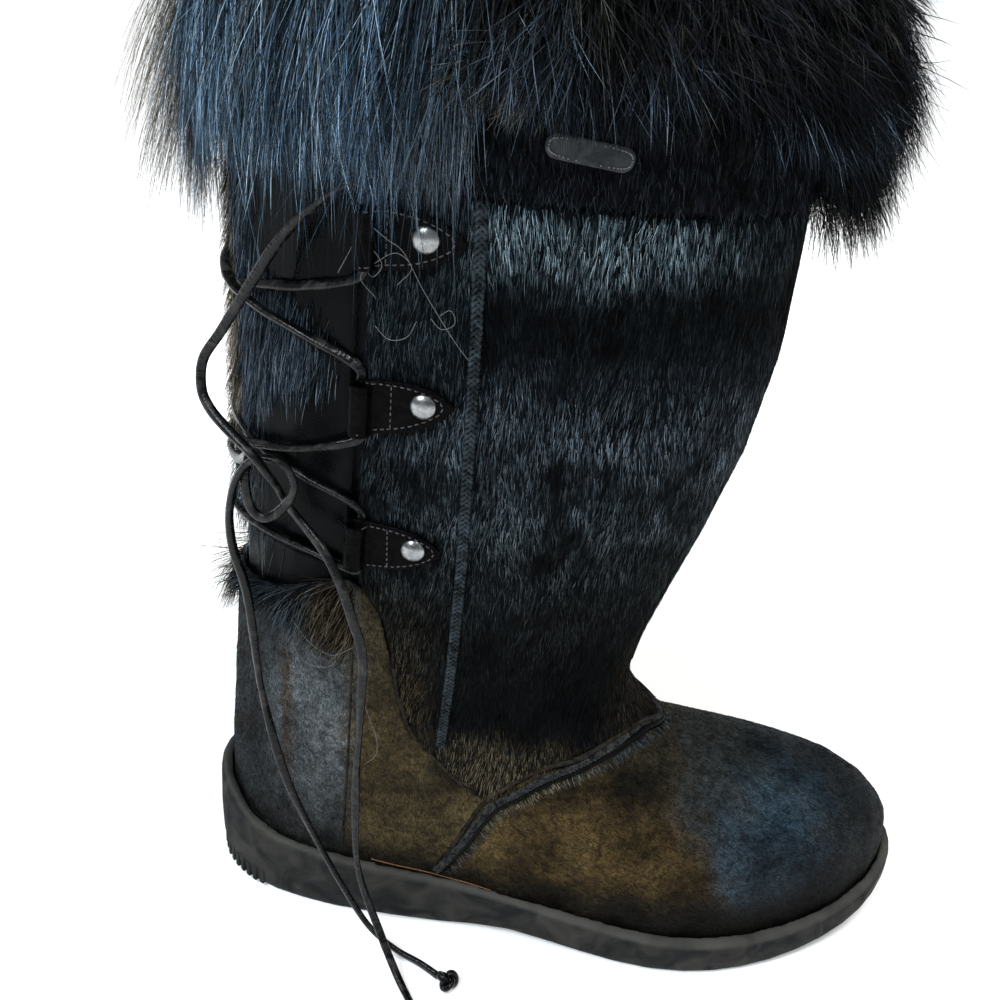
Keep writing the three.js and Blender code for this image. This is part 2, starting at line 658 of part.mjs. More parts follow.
const laceB = [
  ...throughTab("far", "top", true),
  ...acrossGusset(tabMouth("far", "top", -1), tabMouth("near", "middle", 1), laceOver),
  ...throughTab("near", "middle", true),
  legPoint(nearTunnel - 4, tabHeights.near.middle - pastTab - 3.2, tunnelOut - 0.2),
  ...acrossGusset(tabMouth("near", "middle", -1), tabMouth("far", "bottom", 1), laceOver, -2.3),
  legPoint(-5.5, 191.4, 5), // over the free end that passes round behind
  legPoint(-10, 189.6, 5.4),
  laceA.at(-1),
];
const strandA = solidOf(tube(laceA, laceRadius, 44));
const strandB = solidOf(tube(laceB, laceRadius, 28));
addPiece("lace_crossings", geometryOf(strandA.add(strandB)), 0x141416, 0.45);

// Free end from the near top tab: over in a bow, through the slip loop and down to the ground.
const laceEndNear = [
  legPoint(nearTunnel, tabHeights.near.top + pastTab + 0.7, tunnelOut),
  [56.6, -49.8, 286.6],
  [53.5, -50.5, 287.6],
  [49, -50.3, 285.8],
  [43.5, -48.5, 281],
  [33.5, -44, 270],
  [23.8, -39.5, 254.5],
  [14, -35.5, 238],
  [8.2, -34.5, 228],
  [8.2, -36.5, 219.6],
  [10.8, -39, 215.5],
  [16.8, -43.5, 211.4],
  [21.9, -47, 208.8],
  [26.2, -49.6, 206.1],
  [29.6, -49.2, 201],
  [31.8, -44.5, 193.8],
  [33.2, -39.8, 186.6],
  [35.7, -39, 182.2],
  [42.4, -43.5, 177.3],
  [47.6, -48, 173.4],
  [52.6, -51.5, 165.8],
  [57, -53, 153.3],
  [60.5, -53, 141],
  [60.8, -52.5, 111],
  [60.5, -52, 76],
  [63, -54, 42],
  [73, -60, 15],
  [82, -71, 3.5],
  [89, -82, 2],
  [95, -93, 2],
];
addPiece("lace_end_near", tube(laceEndNear, laceRadius, 40), 0x141416, 0.45);
// Free end from the far top tab: down behind, round the heel side into the slip loop, and to the ground.
const laceEndFar = [
  legPoint(farTunnel, tabHeights.far.top + pastTab + 0.7, tunnelOut),
  legPoint(farTunnel, tabHeights.far.top + pastTab + 2.6, tunnelOut),
  legPoint(-17, 288.6, 5.8),
  legPoint(-21.5, 285, 7),
  legPoint(-22.5, 274, 5.8),
  legPoint(-21, 250, 4.8),
  legPoint(-21.5, 224, 5.6),
  legPoint(-19.5, 208, 5),
  legPoint(-14.5, 199.5, 3),
  legPoint(-11, 194.5, 1.8),
  legPoint(-8, 189.5, 1.75),
  legPoint(-3.5, 186.6, 1.9),
  legPoint(3, 186, 2.2),
  [9.4, -8.5, 186.2],
  [12.2, -15.5, 187.7],
  [16.4, -25, 191.8],
  [20.3, -34, 198],
  [21.8, -39.5, 198.7],
  [21.5, -41.5, 195.5],
  [21.9, -42, 189.9],
  [23.3, -42, 184.1],
  [26.6, -42.5, 181.3],
  [30.7, -43.5, 183.3],
  [34.6, -44.5, 188.2],
  [37, -45.2, 193.7],
  [36.6, -45.6, 198.8],
  [33.9, -45.8, 202.4],
  [30, -45.6, 203.7],
  [26.4, -45.2, 203.4],
  [22.9, -44.5, 200.8],
  [19.6, -43, 195.4],
  [16.8, -40, 186.5],
  [15.1, -36.5, 175.3],
  [15.3, -33.5, 163],
  [18.9, -32, 146.2],
  [25, -38, 108.5],
  [34.5, -43, 73],
  [45, -48, 52],
  [57, -52, 30],
  [69, -54.5, 10],
  [79, -57, 2.4],
  [89, -62, 2],
  [96, -66.5, 2],
];
addPiece("lace_end_far", tube(laceEndFar, laceRadius, 52), 0x141416, 0.45);
function endKnot(name, route) {
  const [before, last] = route.slice(-2).map((p) => point(...p));
  const along = last.clone().sub(before).normalize();
  const knot = new THREE.SphereGeometry(1, 8, 6).scale(3.4, 5, 3.4);
  const middle = last.clone().addScaledVector(along, 5.3);
  knot.applyQuaternion(new THREE.Quaternion().setFromUnitVectors(point(0, 1, 0), along));
  knot.translate(middle.x, middle.y, 3.6);
  addPiece(name, knot, 0x141416, 0.5);
}
endKnot("lace_knot_near", laceEndNear);
endKnot("lace_knot_far", laceEndFar);

// The origin goes on the ground under the middle of the boot, its loose lace ends left out of the measure.
const measured = new THREE.Box3();
for (const mesh of boot.children) {
  if (!/^lace_(end|knot)/.test(mesh.name)) measured.expandByObject(mesh);
}
const middle = measured.getCenter(point(0, 0, 0));
boot.position.set(-middle.x, -middle.y, -measured.min.z);

export default boot;
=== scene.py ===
# A right-foot winter boot in hair-on hide, made round its CAD frame: cord, sole, hides, gusset, tabs,
# band and fur. Metres, +X to the toe, +Y to the medial side, +Z up.
import math

import bmesh
import bpy
import numpy as np
from mathutils import Matrix, Vector, kdtree, noise
from mathutils.bvhtree import BVHTree


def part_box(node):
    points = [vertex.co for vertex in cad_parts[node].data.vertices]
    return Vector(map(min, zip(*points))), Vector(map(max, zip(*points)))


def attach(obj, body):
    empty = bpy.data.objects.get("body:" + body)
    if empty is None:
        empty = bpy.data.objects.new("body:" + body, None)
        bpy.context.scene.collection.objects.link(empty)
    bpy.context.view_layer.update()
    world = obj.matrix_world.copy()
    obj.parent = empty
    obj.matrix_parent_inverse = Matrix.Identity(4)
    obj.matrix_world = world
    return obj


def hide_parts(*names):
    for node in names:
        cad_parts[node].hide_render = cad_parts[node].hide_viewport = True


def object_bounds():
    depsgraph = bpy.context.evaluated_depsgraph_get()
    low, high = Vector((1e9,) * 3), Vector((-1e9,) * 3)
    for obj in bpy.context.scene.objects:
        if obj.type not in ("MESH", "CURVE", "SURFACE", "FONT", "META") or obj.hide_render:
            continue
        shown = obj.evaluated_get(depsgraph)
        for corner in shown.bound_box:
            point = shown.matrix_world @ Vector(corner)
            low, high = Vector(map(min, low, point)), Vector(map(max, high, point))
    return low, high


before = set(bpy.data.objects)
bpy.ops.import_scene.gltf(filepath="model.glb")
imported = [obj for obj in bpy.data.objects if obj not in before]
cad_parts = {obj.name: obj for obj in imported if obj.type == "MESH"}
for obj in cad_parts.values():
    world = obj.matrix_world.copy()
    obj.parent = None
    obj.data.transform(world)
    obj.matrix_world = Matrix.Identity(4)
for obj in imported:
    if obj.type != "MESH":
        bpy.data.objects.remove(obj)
cad_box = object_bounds()

# ---------- camera, floor and light ----------
# Someone standing at the boot's outer side looks down on it, with the head a little tilted. Places are
# taken from the back of the heel on the ground, which the outsole gives.
MM = 0.001
outsole_low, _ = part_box("outsole")
LATERAL_REACH = 56.84 * MM  # from the heel-to-toe line to the sole's widest point on the outer side
heel = Vector((outsole_low.x, outsole_low.y + LATERAL_REACH, 0.0))


def at_heel(x, y, z):
    """A place in millimetres from the back of the heel, as a place in the frame."""
    return heel + Vector((x, y, z)) * MM


bpy.ops.object.select_all(action="DESELECT")
bpy.ops.object.camera_add(location=at_heel(87.0, -312.1, 344.7))
camera = bpy.context.object
camera.name = "camera"
CAMERA_TURN, CAMERA_DOWN, CAMERA_TILT = 2.63, 28.93, 6.76  # degrees
camera.rotation_mode = "QUATERNION"
camera.rotation_quaternion = (
    Matrix.Rotation(math.radians(-CAMERA_TURN), 3, "Z")
    @ Matrix.Rotation(math.radians(90 - CAMERA_DOWN), 3, "X")
    @ Matrix.Rotation(math.radians(CAMERA_TILT), 3, "Z")
).to_quaternion()
camera.data.lens = 36.32
camera.data.clip_start = 0.01
bpy.context.scene.camera = camera


def feed(node, inputs):
    """Sets a node's inputs: each to a value, or to the output that leads into it."""
    for name, given in inputs.items():
        if isinstance(given, bpy.types.NodeSocket):
            node.id_data.links.new(given, node.inputs[name])
        else:
            node.inputs[name].default_value = given


def add_node(tree, kind, out, inputs=None, **settings):
    """An output of a new shader node in the tree, with its own settings made and its inputs fed."""
    node = tree.nodes.new(f"ShaderNode{kind}")
    for name, value in settings.items():
        setattr(node, name, value)
    feed(node, inputs or {})
    return node.outputs[out]


def spread_to(tree, value, start, end, low, high):
    """The value's range from start to end, carried over to low and high."""
    limits = {"From Min": start, "From Max": end, "To Min": low, "To Max": high}
    return add_node(tree, "MapRange", "Result", {"Value": value, **limits})


def new_material(name):
    """A new material and its node tree."""
    made = bpy.data.materials.new(name)
    made.use_nodes = True
    return made, made.node_tree


def shade(made, inputs):
    """Feeds the inputs of a material's shader."""
    feed(made.node_tree.nodes["Principled BSDF"], inputs)


# The floor glows more the farther it is from the boot, so that only the contact shadow is left.
bpy.ops.mesh.primitive_plane_add(size=60.0, location=(0.0, 0.0, 0.0))
floor = bpy.context.object
floor.name = "studio_floor"
floor_paint, tree = new_material("floor_paint")
place = add_node(tree, "TexCoord", "Object")
reach = add_node(tree, "VectorMath", "Value", {0: place}, operation="LENGTH")
shade(floor_paint, {
    "Base Color": (0.86, 0.86, 0.86, 1), "Roughness": 0.9, "Specular IOR Level": 0.05,
    "Emission Color": (1, 1, 1, 1), "Emission Strength": spread_to(tree, reach, 0.2, 0.6, 0.25, 0.85),
})
floor.data.materials.append(floor_paint)

world = bpy.data.worlds.new("studio")
world.use_nodes = True
seen = add_node(world.node_tree, "LightPath", "Is Camera Ray")
feed(world.node_tree.nodes["Background"], {
    "Color": (0.93, 0.97, 1.0, 1), "Strength": spread_to(world.node_tree, seen, 0, 1, 0.42, 1.1),
})
bpy.context.scene.world = world


def soft_box(name, place, aim, size, watts, colour):
    """A square soft light that shines from place to aim."""
    bpy.ops.object.light_add(type="AREA", location=place)
    lamp = bpy.context.object
    lamp.name = name
    lamp.data.size = size
    lamp.data.energy = watts
    lamp.data.color = colour
    lamp.rotation_mode = "QUATERNION"
    lamp.rotation_quaternion = (aim - place).to_track_quat("-Z", "Y")


middle = at_heel(130, 0, 170)
soft_box("window_light", middle + Vector((-0.9, -0.9, 1.5)), middle, 0.7, 42, (0.86, 0.94, 1.0))
soft_box("ceiling_light", middle + Vector((0.5, -0.2, 1.7)), middle, 0.6, 22, (1.0, 0.97, 0.92))
bpy.context.scene.view_settings.view_transform = "Standard"

# ---------- lace: free ends ----------
# One round waxed leather cord. Its two ends leave the top tabs; the far one makes a slip loop that holds
# the near one, and both fall to the floor and end in a knot.
LACE_WIDE = 3.2 * MM
near_route = [
    (55.6, -49.4, 284.5), (56.6, -49.8, 286.6), (53.5, -50.5, 287.6), (49, -50.3, 285.8),
    (43.5, -48.5, 281), (33.5, -44, 270), (23.8, -39.5, 254.5), (14, -35.5, 238),
    (8.2, -34.5, 228), (8.2, -36.5, 219.6), (10.8, -39, 215.5), (16.8, -43.5, 211.4),
    (21.9, -47, 208.8), (26.2, -49.6, 206.1), (29.6, -49.2, 201), (31.8, -44.5, 193.8),
    (33.2, -39.8, 186.6), (35.7, -39, 182.2), (42.4, -43.5, 177.3), (47.6, -48, 173.4),
    (52.6, -51.5, 165.8), (57, -53, 153.3), (60.5, -53, 141), (60.8, -52.5, 111),
    (60.5, -52, 76), (63, -54, 42), (73, -60, 15), (82, -71, 3.5), (89, -82, 2), (95, -93, 2),
]
far_route = [
    (8.3, 13.3, 284.5), (8.2, 13.3, 286.4), (7.9, 17.7, 288.6), (9.6, 22.7, 285), (11.5, 22.9, 274),
    (11.8, 20.8, 250), (11.5, 21.5, 224), (10.8, 19.1, 208), (10, 13.5, 199.5), (9.9, 9.9, 194.5),
    (9, 7.2, 189.5), (8.1, 3.2, 186.6), (7.8, -2.7, 186), (9.4, -8.5, 186.2), (12.2, -15.5, 187.7),
    (16.4, -25, 191.8), (20.3, -34, 198), (21.8, -39.5, 198.7), (21.5, -41.5, 195.5),
    (21.9, -42, 189.9), (23.3, -42, 184.1), (26.6, -42.5, 181.3), (30.7, -43.5, 183.3),
    (34.6, -44.5, 188.2), (37, -45.2, 193.7), (36.6, -45.6, 198.8), (33.9, -45.8, 202.4),
    (30, -45.6, 203.7), (26.4, -45.2, 203.4), (22.9, -44.5, 200.8), (19.6, -43, 195.4),
    (16.8, -40, 186.5), (15.1, -36.5, 175.3), (15.3, -33.5, 163), (18.9, -32, 146.2),
    (25, -38, 108.5), (34.5, -43, 73), (45, -48, 52), (57, -52, 30), (69, -54.5, 10),
    (79, -57, 2.4), (89, -62, 2), (96, -66.5, 2),
]


def smooth_path(points, step):
    """The points joined by one smooth curve (centripetal Catmull-Rom), cut at an even step."""
    places = np.array([np.array(p, float) for p in points])
    first, last = 2 * places[0] - places[1], 2 * places[-1] - places[-2]
    places = np.vstack([first, places, last])
    fine = []
    for a, b, c, d in zip(places, places[1:], places[2:], places[3:]):
        gaps = [max(1e-6, np.linalg.norm(q - p)) ** 0.5 for p, q in ((a, b), (b, c), (c, d))]
        k0, k1, k2, k3 = np.cumsum([0] + gaps)
        t = np.linspace(k1, k2, 17)[:-1, None]

        def blend(p, q, low, high):
            return (p * (high - t) + q * (t - low)) / (high - low)

        ab, bc, cd = blend(a, b, k0, k1), blend(b, c, k1, k2), blend(c, d, k2, k3)
        fine.append(blend(blend(ab, bc, k0, k2), blend(bc, cd, k1, k3), k1, k2))
    fine = np.vstack([*fine, places[-2]])
    along = along_path(fine)
    count = max(2, round(along[-1] / step) + 1)
    even = np.linspace(0, along[-1], count)
    return np.stack([np.interp(even, along, fine[:, axis]) for axis in range(3)], axis=1)


def meshed(name, corners, faces):
    """A new object with the corners and faces, smooth and with its faces turned outwards."""
    mesh = bpy.data.meshes.new(name)
    mesh.from_pydata(corners, [], faces)
    turned = bmesh.new()
    turned.from_mesh(mesh)
    bmesh.ops.recalc_face_normals(turned, faces=turned.faces)
    turned.to_mesh(mesh)
    turned.free()
    mesh.shade_smooth()
    return linked(name, mesh)


def linked(name, mesh):
    """A new object in the scene that shows the mesh."""
    piece = bpy.data.objects.new(name, mesh)
    bpy.context.collection.objects.link(piece)
    return piece


def only(piece):
    """Selects one object and nothing else, and makes it the active one."""
    bpy.ops.object.select_all(action="DESELECT")
    piece.select_set(True)
    bpy.context.view_layer.objects.active = piece


def reshaped(piece, kind, **settings):
    """Applies a modifier of the kind, with its settings, to the active piece."""
    modifier = piece.modifiers.new("reshaped", kind)
    for name, value in settings.items():
        setattr(modifier, name, value)
    bpy.ops.object.modifier_apply(modifier="reshaped")


def dressed(piece, finish, replaced=None):
    """Gives a piece its material and its body, and hides the CAD node that it stands for."""
    piece.data.materials.append(finish)
    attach(piece, "root")
    if replaced:
        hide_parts(replaced)
    return piece


def along_path(path):
    """The distance along the path to each of its points, in metres."""
    return np.concatenate([[0], np.cumsum(np.linalg.norm(np.diff(path, axis=0), axis=1))])


def unit(rows):
    """The rows, each made one long."""
    return rows / np.maximum(np.linalg.norm(rows, axis=-1, keepdims=True), 1e-9)


def middle_of(node):
    """The middle of a CAD node's box."""
    low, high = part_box(node)
    return (low + high) / 2


def swept(name, path, outline, turn=lambda t: 0.0):
    """A closed mesh of `outline` (across, up) carried along `path`, twisted by turn."""
    ahead = unit(np.gradient(path, axis=0))
    side = np.cross(ahead[0], (0.13, 0.27, 0.95))
    rings = []
    for i, (place, onward) in enumerate(zip(path, ahead)):
        side = unit(side - onward * side.dot(onward))
        up = np.cross(onward, side)
        angle = turn(i / (len(path) - 1))
        c, s = math.cos(angle), math.sin(angle)
        across, over = side * c + up * s, up * c - side * s
        rings.append([place + (across * a + over * b) for a, b in outline])
    count = len(outline)
    corners = np.array(rings).reshape(-1, 3)
    ring_of = np.arange(len(path) * count).reshape(len(path), count)
    a, b = ring_of[:-1], ring_of[1:]
    sides = np.stack([a, np.roll(a, -1, 1), np.roll(b, -1, 1), b], axis=-1).reshape(-1, 4)
    piece = meshed(name, corners, [*sides.tolist(), ring_of[0][::-1].tolist(), ring_of[-1].tolist()])
    lengths = along_path(path)
    wrap = piece.data.uv_layers.new(name="along_cord").data
    for face in piece.data.polygons:
        for k, corner in enumerate(face.loop_indices):
            row, column = divmod(face.vertices[k], count)
            if column == 0 and any(v % count == count - 1 for v in face.vertices) and face.index < len(sides):
                column = count
            wrap[corner].uv = (column / count, lengths[row])
    return piece


def pressed_round(wide, tall, sides, groove):
    """The cord's section: a slightly flattened round with a shallow groove along one face."""
    angles = [2 * math.pi * i / sides for i in range(sides)]
    dips = [1 - groove * max(0.0, math.cos(a - math.pi / 2)) ** 8 for a in angles]
    return [(wide / 2 * math.cos(a) * d, tall / 2 * math.sin(a) * d) for a, d in zip(angles, dips)]


def worn_grain():
    """Node group for a worn, grained surface: broad wear, fine grain, and the normal of both."""
    group = bpy.data.node_groups.new("worn_grain", "ShaderNodeTree")
    for label in ("Wear Scale", "Grain Scale", "Wear Depth", "Grain Depth"):
        group.interface.new_socket(label, in_out="INPUT", socket_type="NodeSocketFloat")
    for label, kind in (("Wear", "Float"), ("Grain", "Float"), ("Normal", "Vector")):
        group.interface.new_socket(label, in_out="OUTPUT", socket_type=f"NodeSocket{kind}")
    given, put_out = group.nodes.new("NodeGroupInput").outputs, group.nodes.new("NodeGroupOutput")
    place = add_node(group, "TexCoord", "Object")
    grain = add_node(group, "TexVoronoi", "Distance", {"Vector": place, "Scale": given["Grain Scale"]})
    wear = add_node(group, "TexNoise", "Fac", {
        "Vector": place, "Scale": given["Wear Scale"], "Detail": 6.0, "Distortion": 1.2,
    })
    small = add_node(group, "Bump", "Normal", {
        "Strength": 0.3, "Distance": given["Grain Depth"], "Height": grain,
    })
    both = add_node(group, "Bump", "Normal", {
        "Strength": 0.5, "Distance": given["Wear Depth"], "Height": wear, "Normal": small,
    })
    feed(put_out, {"Wear": wear, "Grain": grain, "Normal": both})
    return group


grain_group = worn_grain()


def with_grain(name, wear, grain, wear_depth, grain_depth):
    """A new material with the grain group in it; scales per metre, depths in metres."""
    made, tree = new_material(name)
    normal = add_node(tree, "Group", "Normal", {
        "Wear Scale": wear, "Grain Scale": grain, "Wear Depth": wear_depth, "Grain Depth": grain_depth,
    }, node_tree=grain_group)
    shade(made, {"Normal": normal})
    return made, normal.node.outputs


def ramp(made, value, start, end, dark, light):
    """Base colour from dark to light as the value goes from start to end."""
    tone = add_node(made.node_tree, "ValToRGB", "Color", {"Fac": value})
    for stop, place, colour in zip(tone.node.color_ramp.elements, (start, end), (dark, light)):
        stop.position, stop.color = place, (*colour, 1)
    shade(made, {"Base Color": tone})
    return tone


def rubbed(made, value, rough_low, rough_high, gloss):
    """Roughness that follows the value between two limits, and a specular level."""
    rough = spread_to(made.node_tree, value, 0.3, 0.7, rough_low, rough_high)
    shade(made, {"Roughness": rough, "Specular IOR Level": gloss})


def waxed_cord():
    """Black waxed leather, glossy on its ridges, with fine cross creases and dull scuffs."""
    made, grain = with_grain("waxed_cord", 150.0, 1800.0, 0.0005, 0.0001)
    ramp(made, grain["Wear"], 0.52, 0.78, (0.0018, 0.0019, 0.0022), (0.034, 0.032, 0.03))
    rubbed(made, grain["Wear"], 0.2, 0.36, 0.18)
    tree = made.node_tree
    wrap = add_node(tree, "UVMap", "UV", uv_map="along_cord")
    stretched = add_node(tree, "Mapping", "Vector", {"Vector": wrap, "Scale": (3.0, 900.0, 1.0)})
    creases = add_node(tree, "TexNoise", "Fac", {"Vector": stretched, "Scale": 1.0, "Detail": 3.0})
    shade(made, {"Normal": add_node(tree, "Bump", "Normal", {
        "Strength": 0.7, "Distance": 0.0004, "Height": creases, "Normal": grain["Normal"],
    })})
    return made


cord_finish = waxed_cord()
cord_section = pressed_round(LACE_WIDE, 2.5 * MM, 12, 0.3)
for side, route in (("near", near_route), ("far", far_route)):
    path = smooth_path([at_heel(*p) for p in route], 1.3 * MM)
    end = swept(f"lace_free_end_{side}", path, cord_section, turn=lambda t: 2.2 * math.sin(9 * t) + 3 * t)
    dressed(end, cord_finish, f"lace_end_{side}")

    # An overhand knot, drawn tight, where the cord stops.
    onward = Vector(path[-1] - path[-2]).normalized()
    knot_middle = Vector(path[-1]) + onward * 4.6 * MM
    knot_middle.z = max(knot_middle.z, 3.4 * MM)
    across = onward.cross(Vector((0, 0, 1))).normalized()
    turns = np.linspace(0, 2 * math.pi, 73)[:-3]
    knot_path = np.array([
        knot_middle
        + onward * (math.cos(t) - 2 * math.cos(2 * t)) * 1.25 * MM
        + across * (math.sin(t) + 2 * math.sin(2 * t)) * 1.05 * MM
        + Vector((0, 0, 1)) * -math.sin(3 * t) * 1.3 * MM
        for t in turns
    ])
    knot = swept(f"lace_tight_knot_{side}", knot_path, pressed_round(2.9 * MM, 2.4 * MM, 10, 0.2))
    dressed(knot, cord_finish, f"lace_knot_{side}")

# ---------- hides: the bare skins ----------
# The shaft, the foot and the gusset are each one closed shell of hide or leather, cut and sewn to shape.
# Wear has left soft folds round the ankle and a few dents up the shaft.
def skin(name, node, grid, rounds, keep, finish):
    """A smooth closed skin over the CAD node: its mesh copied, merged, made even, eased and thinned."""
    made = linked(name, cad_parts[node].data.copy())
    only(made)
    bpy.ops.object.mode_set(mode="EDIT")
    bpy.ops.mesh.select_all(action="SELECT")
    bpy.ops.mesh.remove_doubles(threshold=1e-6)
    bpy.ops.object.mode_set(mode="OBJECT")
    reshaped(made, "REMESH", mode="VOXEL", voxel_size=grid, use_smooth_shade=True)
    reshaped(made, "SMOOTH", iterations=rounds)
    reshaped(made, "DECIMATE", ratio=keep)
    made.data.materials.clear()
    made.data.shade_smooth()
    return dressed(made, finish, node)


def rows_of(mesh, what):
    """The places ("co") or the directions ("normal") of a mesh's vertices as rows of x, y, z."""
    flat = np.empty(len(mesh.vertices) * 3, np.float32)
    mesh.vertices.foreach_get(what, flat)
    return flat.reshape(-1, 3).astype(float)


def tree_of(*pieces):
    """One tree for casting rays onto all the pieces."""
    places, faces = [], []
    for piece in pieces:
        start = len(places)
        places += [v.co.copy() for v in piece.data.vertices]
        faces += [[start + i for i in face.vertices] for face in piece.data.polygons]
    return BVHTree.FromPolygons(places, faces)


def strike(tree, start, direction):
    """Where a ray first meets the tree and the face's direction there. A lost ray is shifted a little."""
    for shift in (0, 3e-5, -4e-5, 7e-5):
        hit, normal, _, _ = tree.ray_cast(start + Vector((shift, shift * 0.7, shift * 1.3)), direction)
        if hit is not None and normal.dot(direction) < 0:
            return hit, normal
    return hit, normal


def hide_skin(name, root_colour, tip_colour, rough):
    """The bare hide under the hair: dark, with pores and short rubbed stubble."""
    made, tree = new_material(name)
    place = add_node(tree, "TexCoord", "Object")
    stretched = add_node(tree, "Mapping", "Vector", {"Vector": place, "Scale": (900.0, 900.0, 160.0)})
    stubble = add_node(tree, "TexNoise", "Fac", {"Vector": stretched, "Scale": 1.0, "Detail": 3.0})
    blotch = add_node(tree, "TexNoise", "Fac", {"Vector": place, "Scale": 60.0})
    mixed = add_node(tree, "Math", "Value", {0: stubble, 1: blotch}, operation="MULTIPLY")
    ramp(made, mixed, 0.16, 0.42, root_colour, tip_colour)
    bump = add_node(tree, "Bump", "Normal", {"Strength": 0.6, "Distance": 0.0005, "Height": stubble})
    shade(made, {"Roughness": rough, "Specular IOR Level": 0.015, "Normal": bump})
    return made


def own_tint(made, strength):
    """Base colour: the piece's own tint, made lighter or darker by the strength."""
    tree = made.node_tree
    tint = add_node(tree, "Attribute", "Color", attribute_name="tint")
    scaled = add_node(tree, "VectorMath", "Vector", {0: tint, "Scale": strength}, operation="SCALE")
    shade(made, {"Base Color": scaled})


def napped_hide(name):
    """Short rubbed nap: the piece's own tint, broken into fine lighter and darker specks."""
    made, grain = with_grain(name, 260.0, 1500.0, 0.0006, 0.0005)
    tree = made.node_tree
    specks = spread_to(tree, grain["Grain"], 0.05, 0.6, 1.4, 0.6)
    blotches = spread_to(tree, grain["Wear"], 0.35, 0.65, 0.45, 1.55)
    own_tint(made, add_node(tree, "Math", "Value", {0: specks, 1: blotches}, operation="MULTIPLY"))
    rubbed(made, grain["Wear"], 0.5, 0.75, 0.06)
    return made


def smooth_leather(name, dark, light, rough_low, rough_high, crease, gloss=0.04):
    """Smooth dyed leather: a fine pebble, long shallow creases and slightly greyer rubbed places."""
    made, grain = with_grain(name, crease, 1500.0, 0.0012, 0.0002)
    ramp(made, grain["Wear"], 0.35, 0.75, dark, light)
    rubbed(made, grain["Wear"], rough_low, rough_high, gloss)
    return made


black_hide = hide_skin("black_hide", (0.0007, 0.0008, 0.001), (0.005, 0.007, 0.009), 0.75)
brown_hide = napped_hide("brown_hide")
gusset_leather = smooth_leather(
    "gusset_leather", (0.0006, 0.0011, 0.0012), (0.0034, 0.0034, 0.0038), 0.12, 0.4, 38.0, 0.03,
)
HIDE_GRID = 1.05 * MM
shaft_skin = skin("shaft_hide", "shaft", HIDE_GRID, 13, 0.2, black_hide)
foot_skin = skin("foot_hide", "upper", HIDE_GRID, 13, 0.22, brown_hide)
gusset_skin = skin("lacing_gusset", "tongue", HIDE_GRID, 18, 0.25, gusset_leather)

# The leg is an oval: its middle from the heel, its half length, its half width and a place near its
# side's face. The foot's middle line lies low, and the leg's takes over above the ankle.
LEG_MIDDLE, LEG_LONG, LEG_WIDE, LEG_SIDE = 96, 86, 46, 42
FOOT_LINE, ANKLE = 45 * MM, 95 * MM


def leg_core(places):
    """For each place, the point of the leg's middle line at the same height."""
    core = np.tile(at_heel(LEG_MIDDLE, 0, 0), (len(places), 1))
    core[:, 2] = places[:, 2]
    return core



# Folds and dents: middle, half length along and across, depth; in millimetres from the heel.
folds = [
    ((150, -30, 128), (0.9, -0.5, -0.35), 34, 7, -1.3),
    ((128, -42, 118), (0.9, -0.3, -0.4), 30, 6, 1.0),
    ((120, -44, 104), (0.95, -0.2, -0.25), 30, 6, -1.1),
    ((168, -12, 112), (0.3, -0.9, -0.1), 22, 7, -1.0),
    ((160, 10, 104), (0.3, 0.9, -0.1), 26, 7, -1.1),
    ((150, 30, 120), (0.8, 0.5, -0.3), 30, 7, -1.0),
    ((120, 42, 110), (0.95, 0.2, -0.25), 30, 6, -1.0),
    ((120, -47, 262), (1.0, -0.1, 0.05), 40, 9, 0.9),
    ((125, -47, 243), (1.0, -0.1, 0.03), 45, 8, -1.2),
    ((150, -40, 190), (0.9, 0.3, -0.4), 30, 10, -0.9),
    ((72, -44, 120), (0.5, -0.1, -0.8), 26, 7, -0.9),
    ((30, -30, 120), (0.9, -0.3, 0.1), 24, 6, -1.0),
    ((20, 22, 124), (0.9, 0.3, 0.1), 26, 6, -1.1),
    ((12, 0, 96), (0.1, 1.0, 0.0), 26, 6, 0.8),
    ((185, -8, 70), (0.2, -1.0, -0.1), 28, 6, -0.7),
    ((176, 6, 74), (0.2, 1.0, -0.1), 30, 6, -0.6),
]


def fold_in(piece):
    """Presses the folds into a skin, both its faces together, along its outward direction."""
    places = rows_of(piece.data, "co")
    centre = leg_core(places)
    centre[:, 0] = np.clip(places[:, 0], at_heel(45, 0, 0).x, at_heel(150, 0, 0).x)
    centre[:, 2] = np.minimum(places[:, 2], FOOT_LINE) + (places[:, 2] > ANKLE) * (places[:, 2] - FOOT_LINE)
    outward = unit(places - centre)
    moved = np.zeros(len(places))
    for spot, line, long, wide, depth in folds:
        away = places - np.array(at_heel(*spot))
        line = np.array(line) / np.linalg.norm(line)
        on_line = away @ line
        across = np.linalg.norm(away - on_line[:, None] * line, axis=1)
        moved += depth * MM * np.exp(-((on_line / (long * MM)) ** 2) - (across / (wide * MM)) ** 2)
    piece.data.vertices.foreach_set("co", (places + outward * moved[:, None]).astype(np.float32).ravel())
    piece.data.update()


for piece in (shaft_skin, foot_skin):
    fold_in(piece)

leg_tree = tree_of(shaft_skin, gusset_skin, foot_skin)


def out_at(turn):
    """The way straight out of the leg's middle at a turn round it, in degrees: 0 at the centre back and
    90 at the lateral side."""
    angle = math.radians(turn)
    return Vector((-LEG_LONG * math.cos(angle), -LEG_WIDE * math.sin(angle), 0)).normalized()


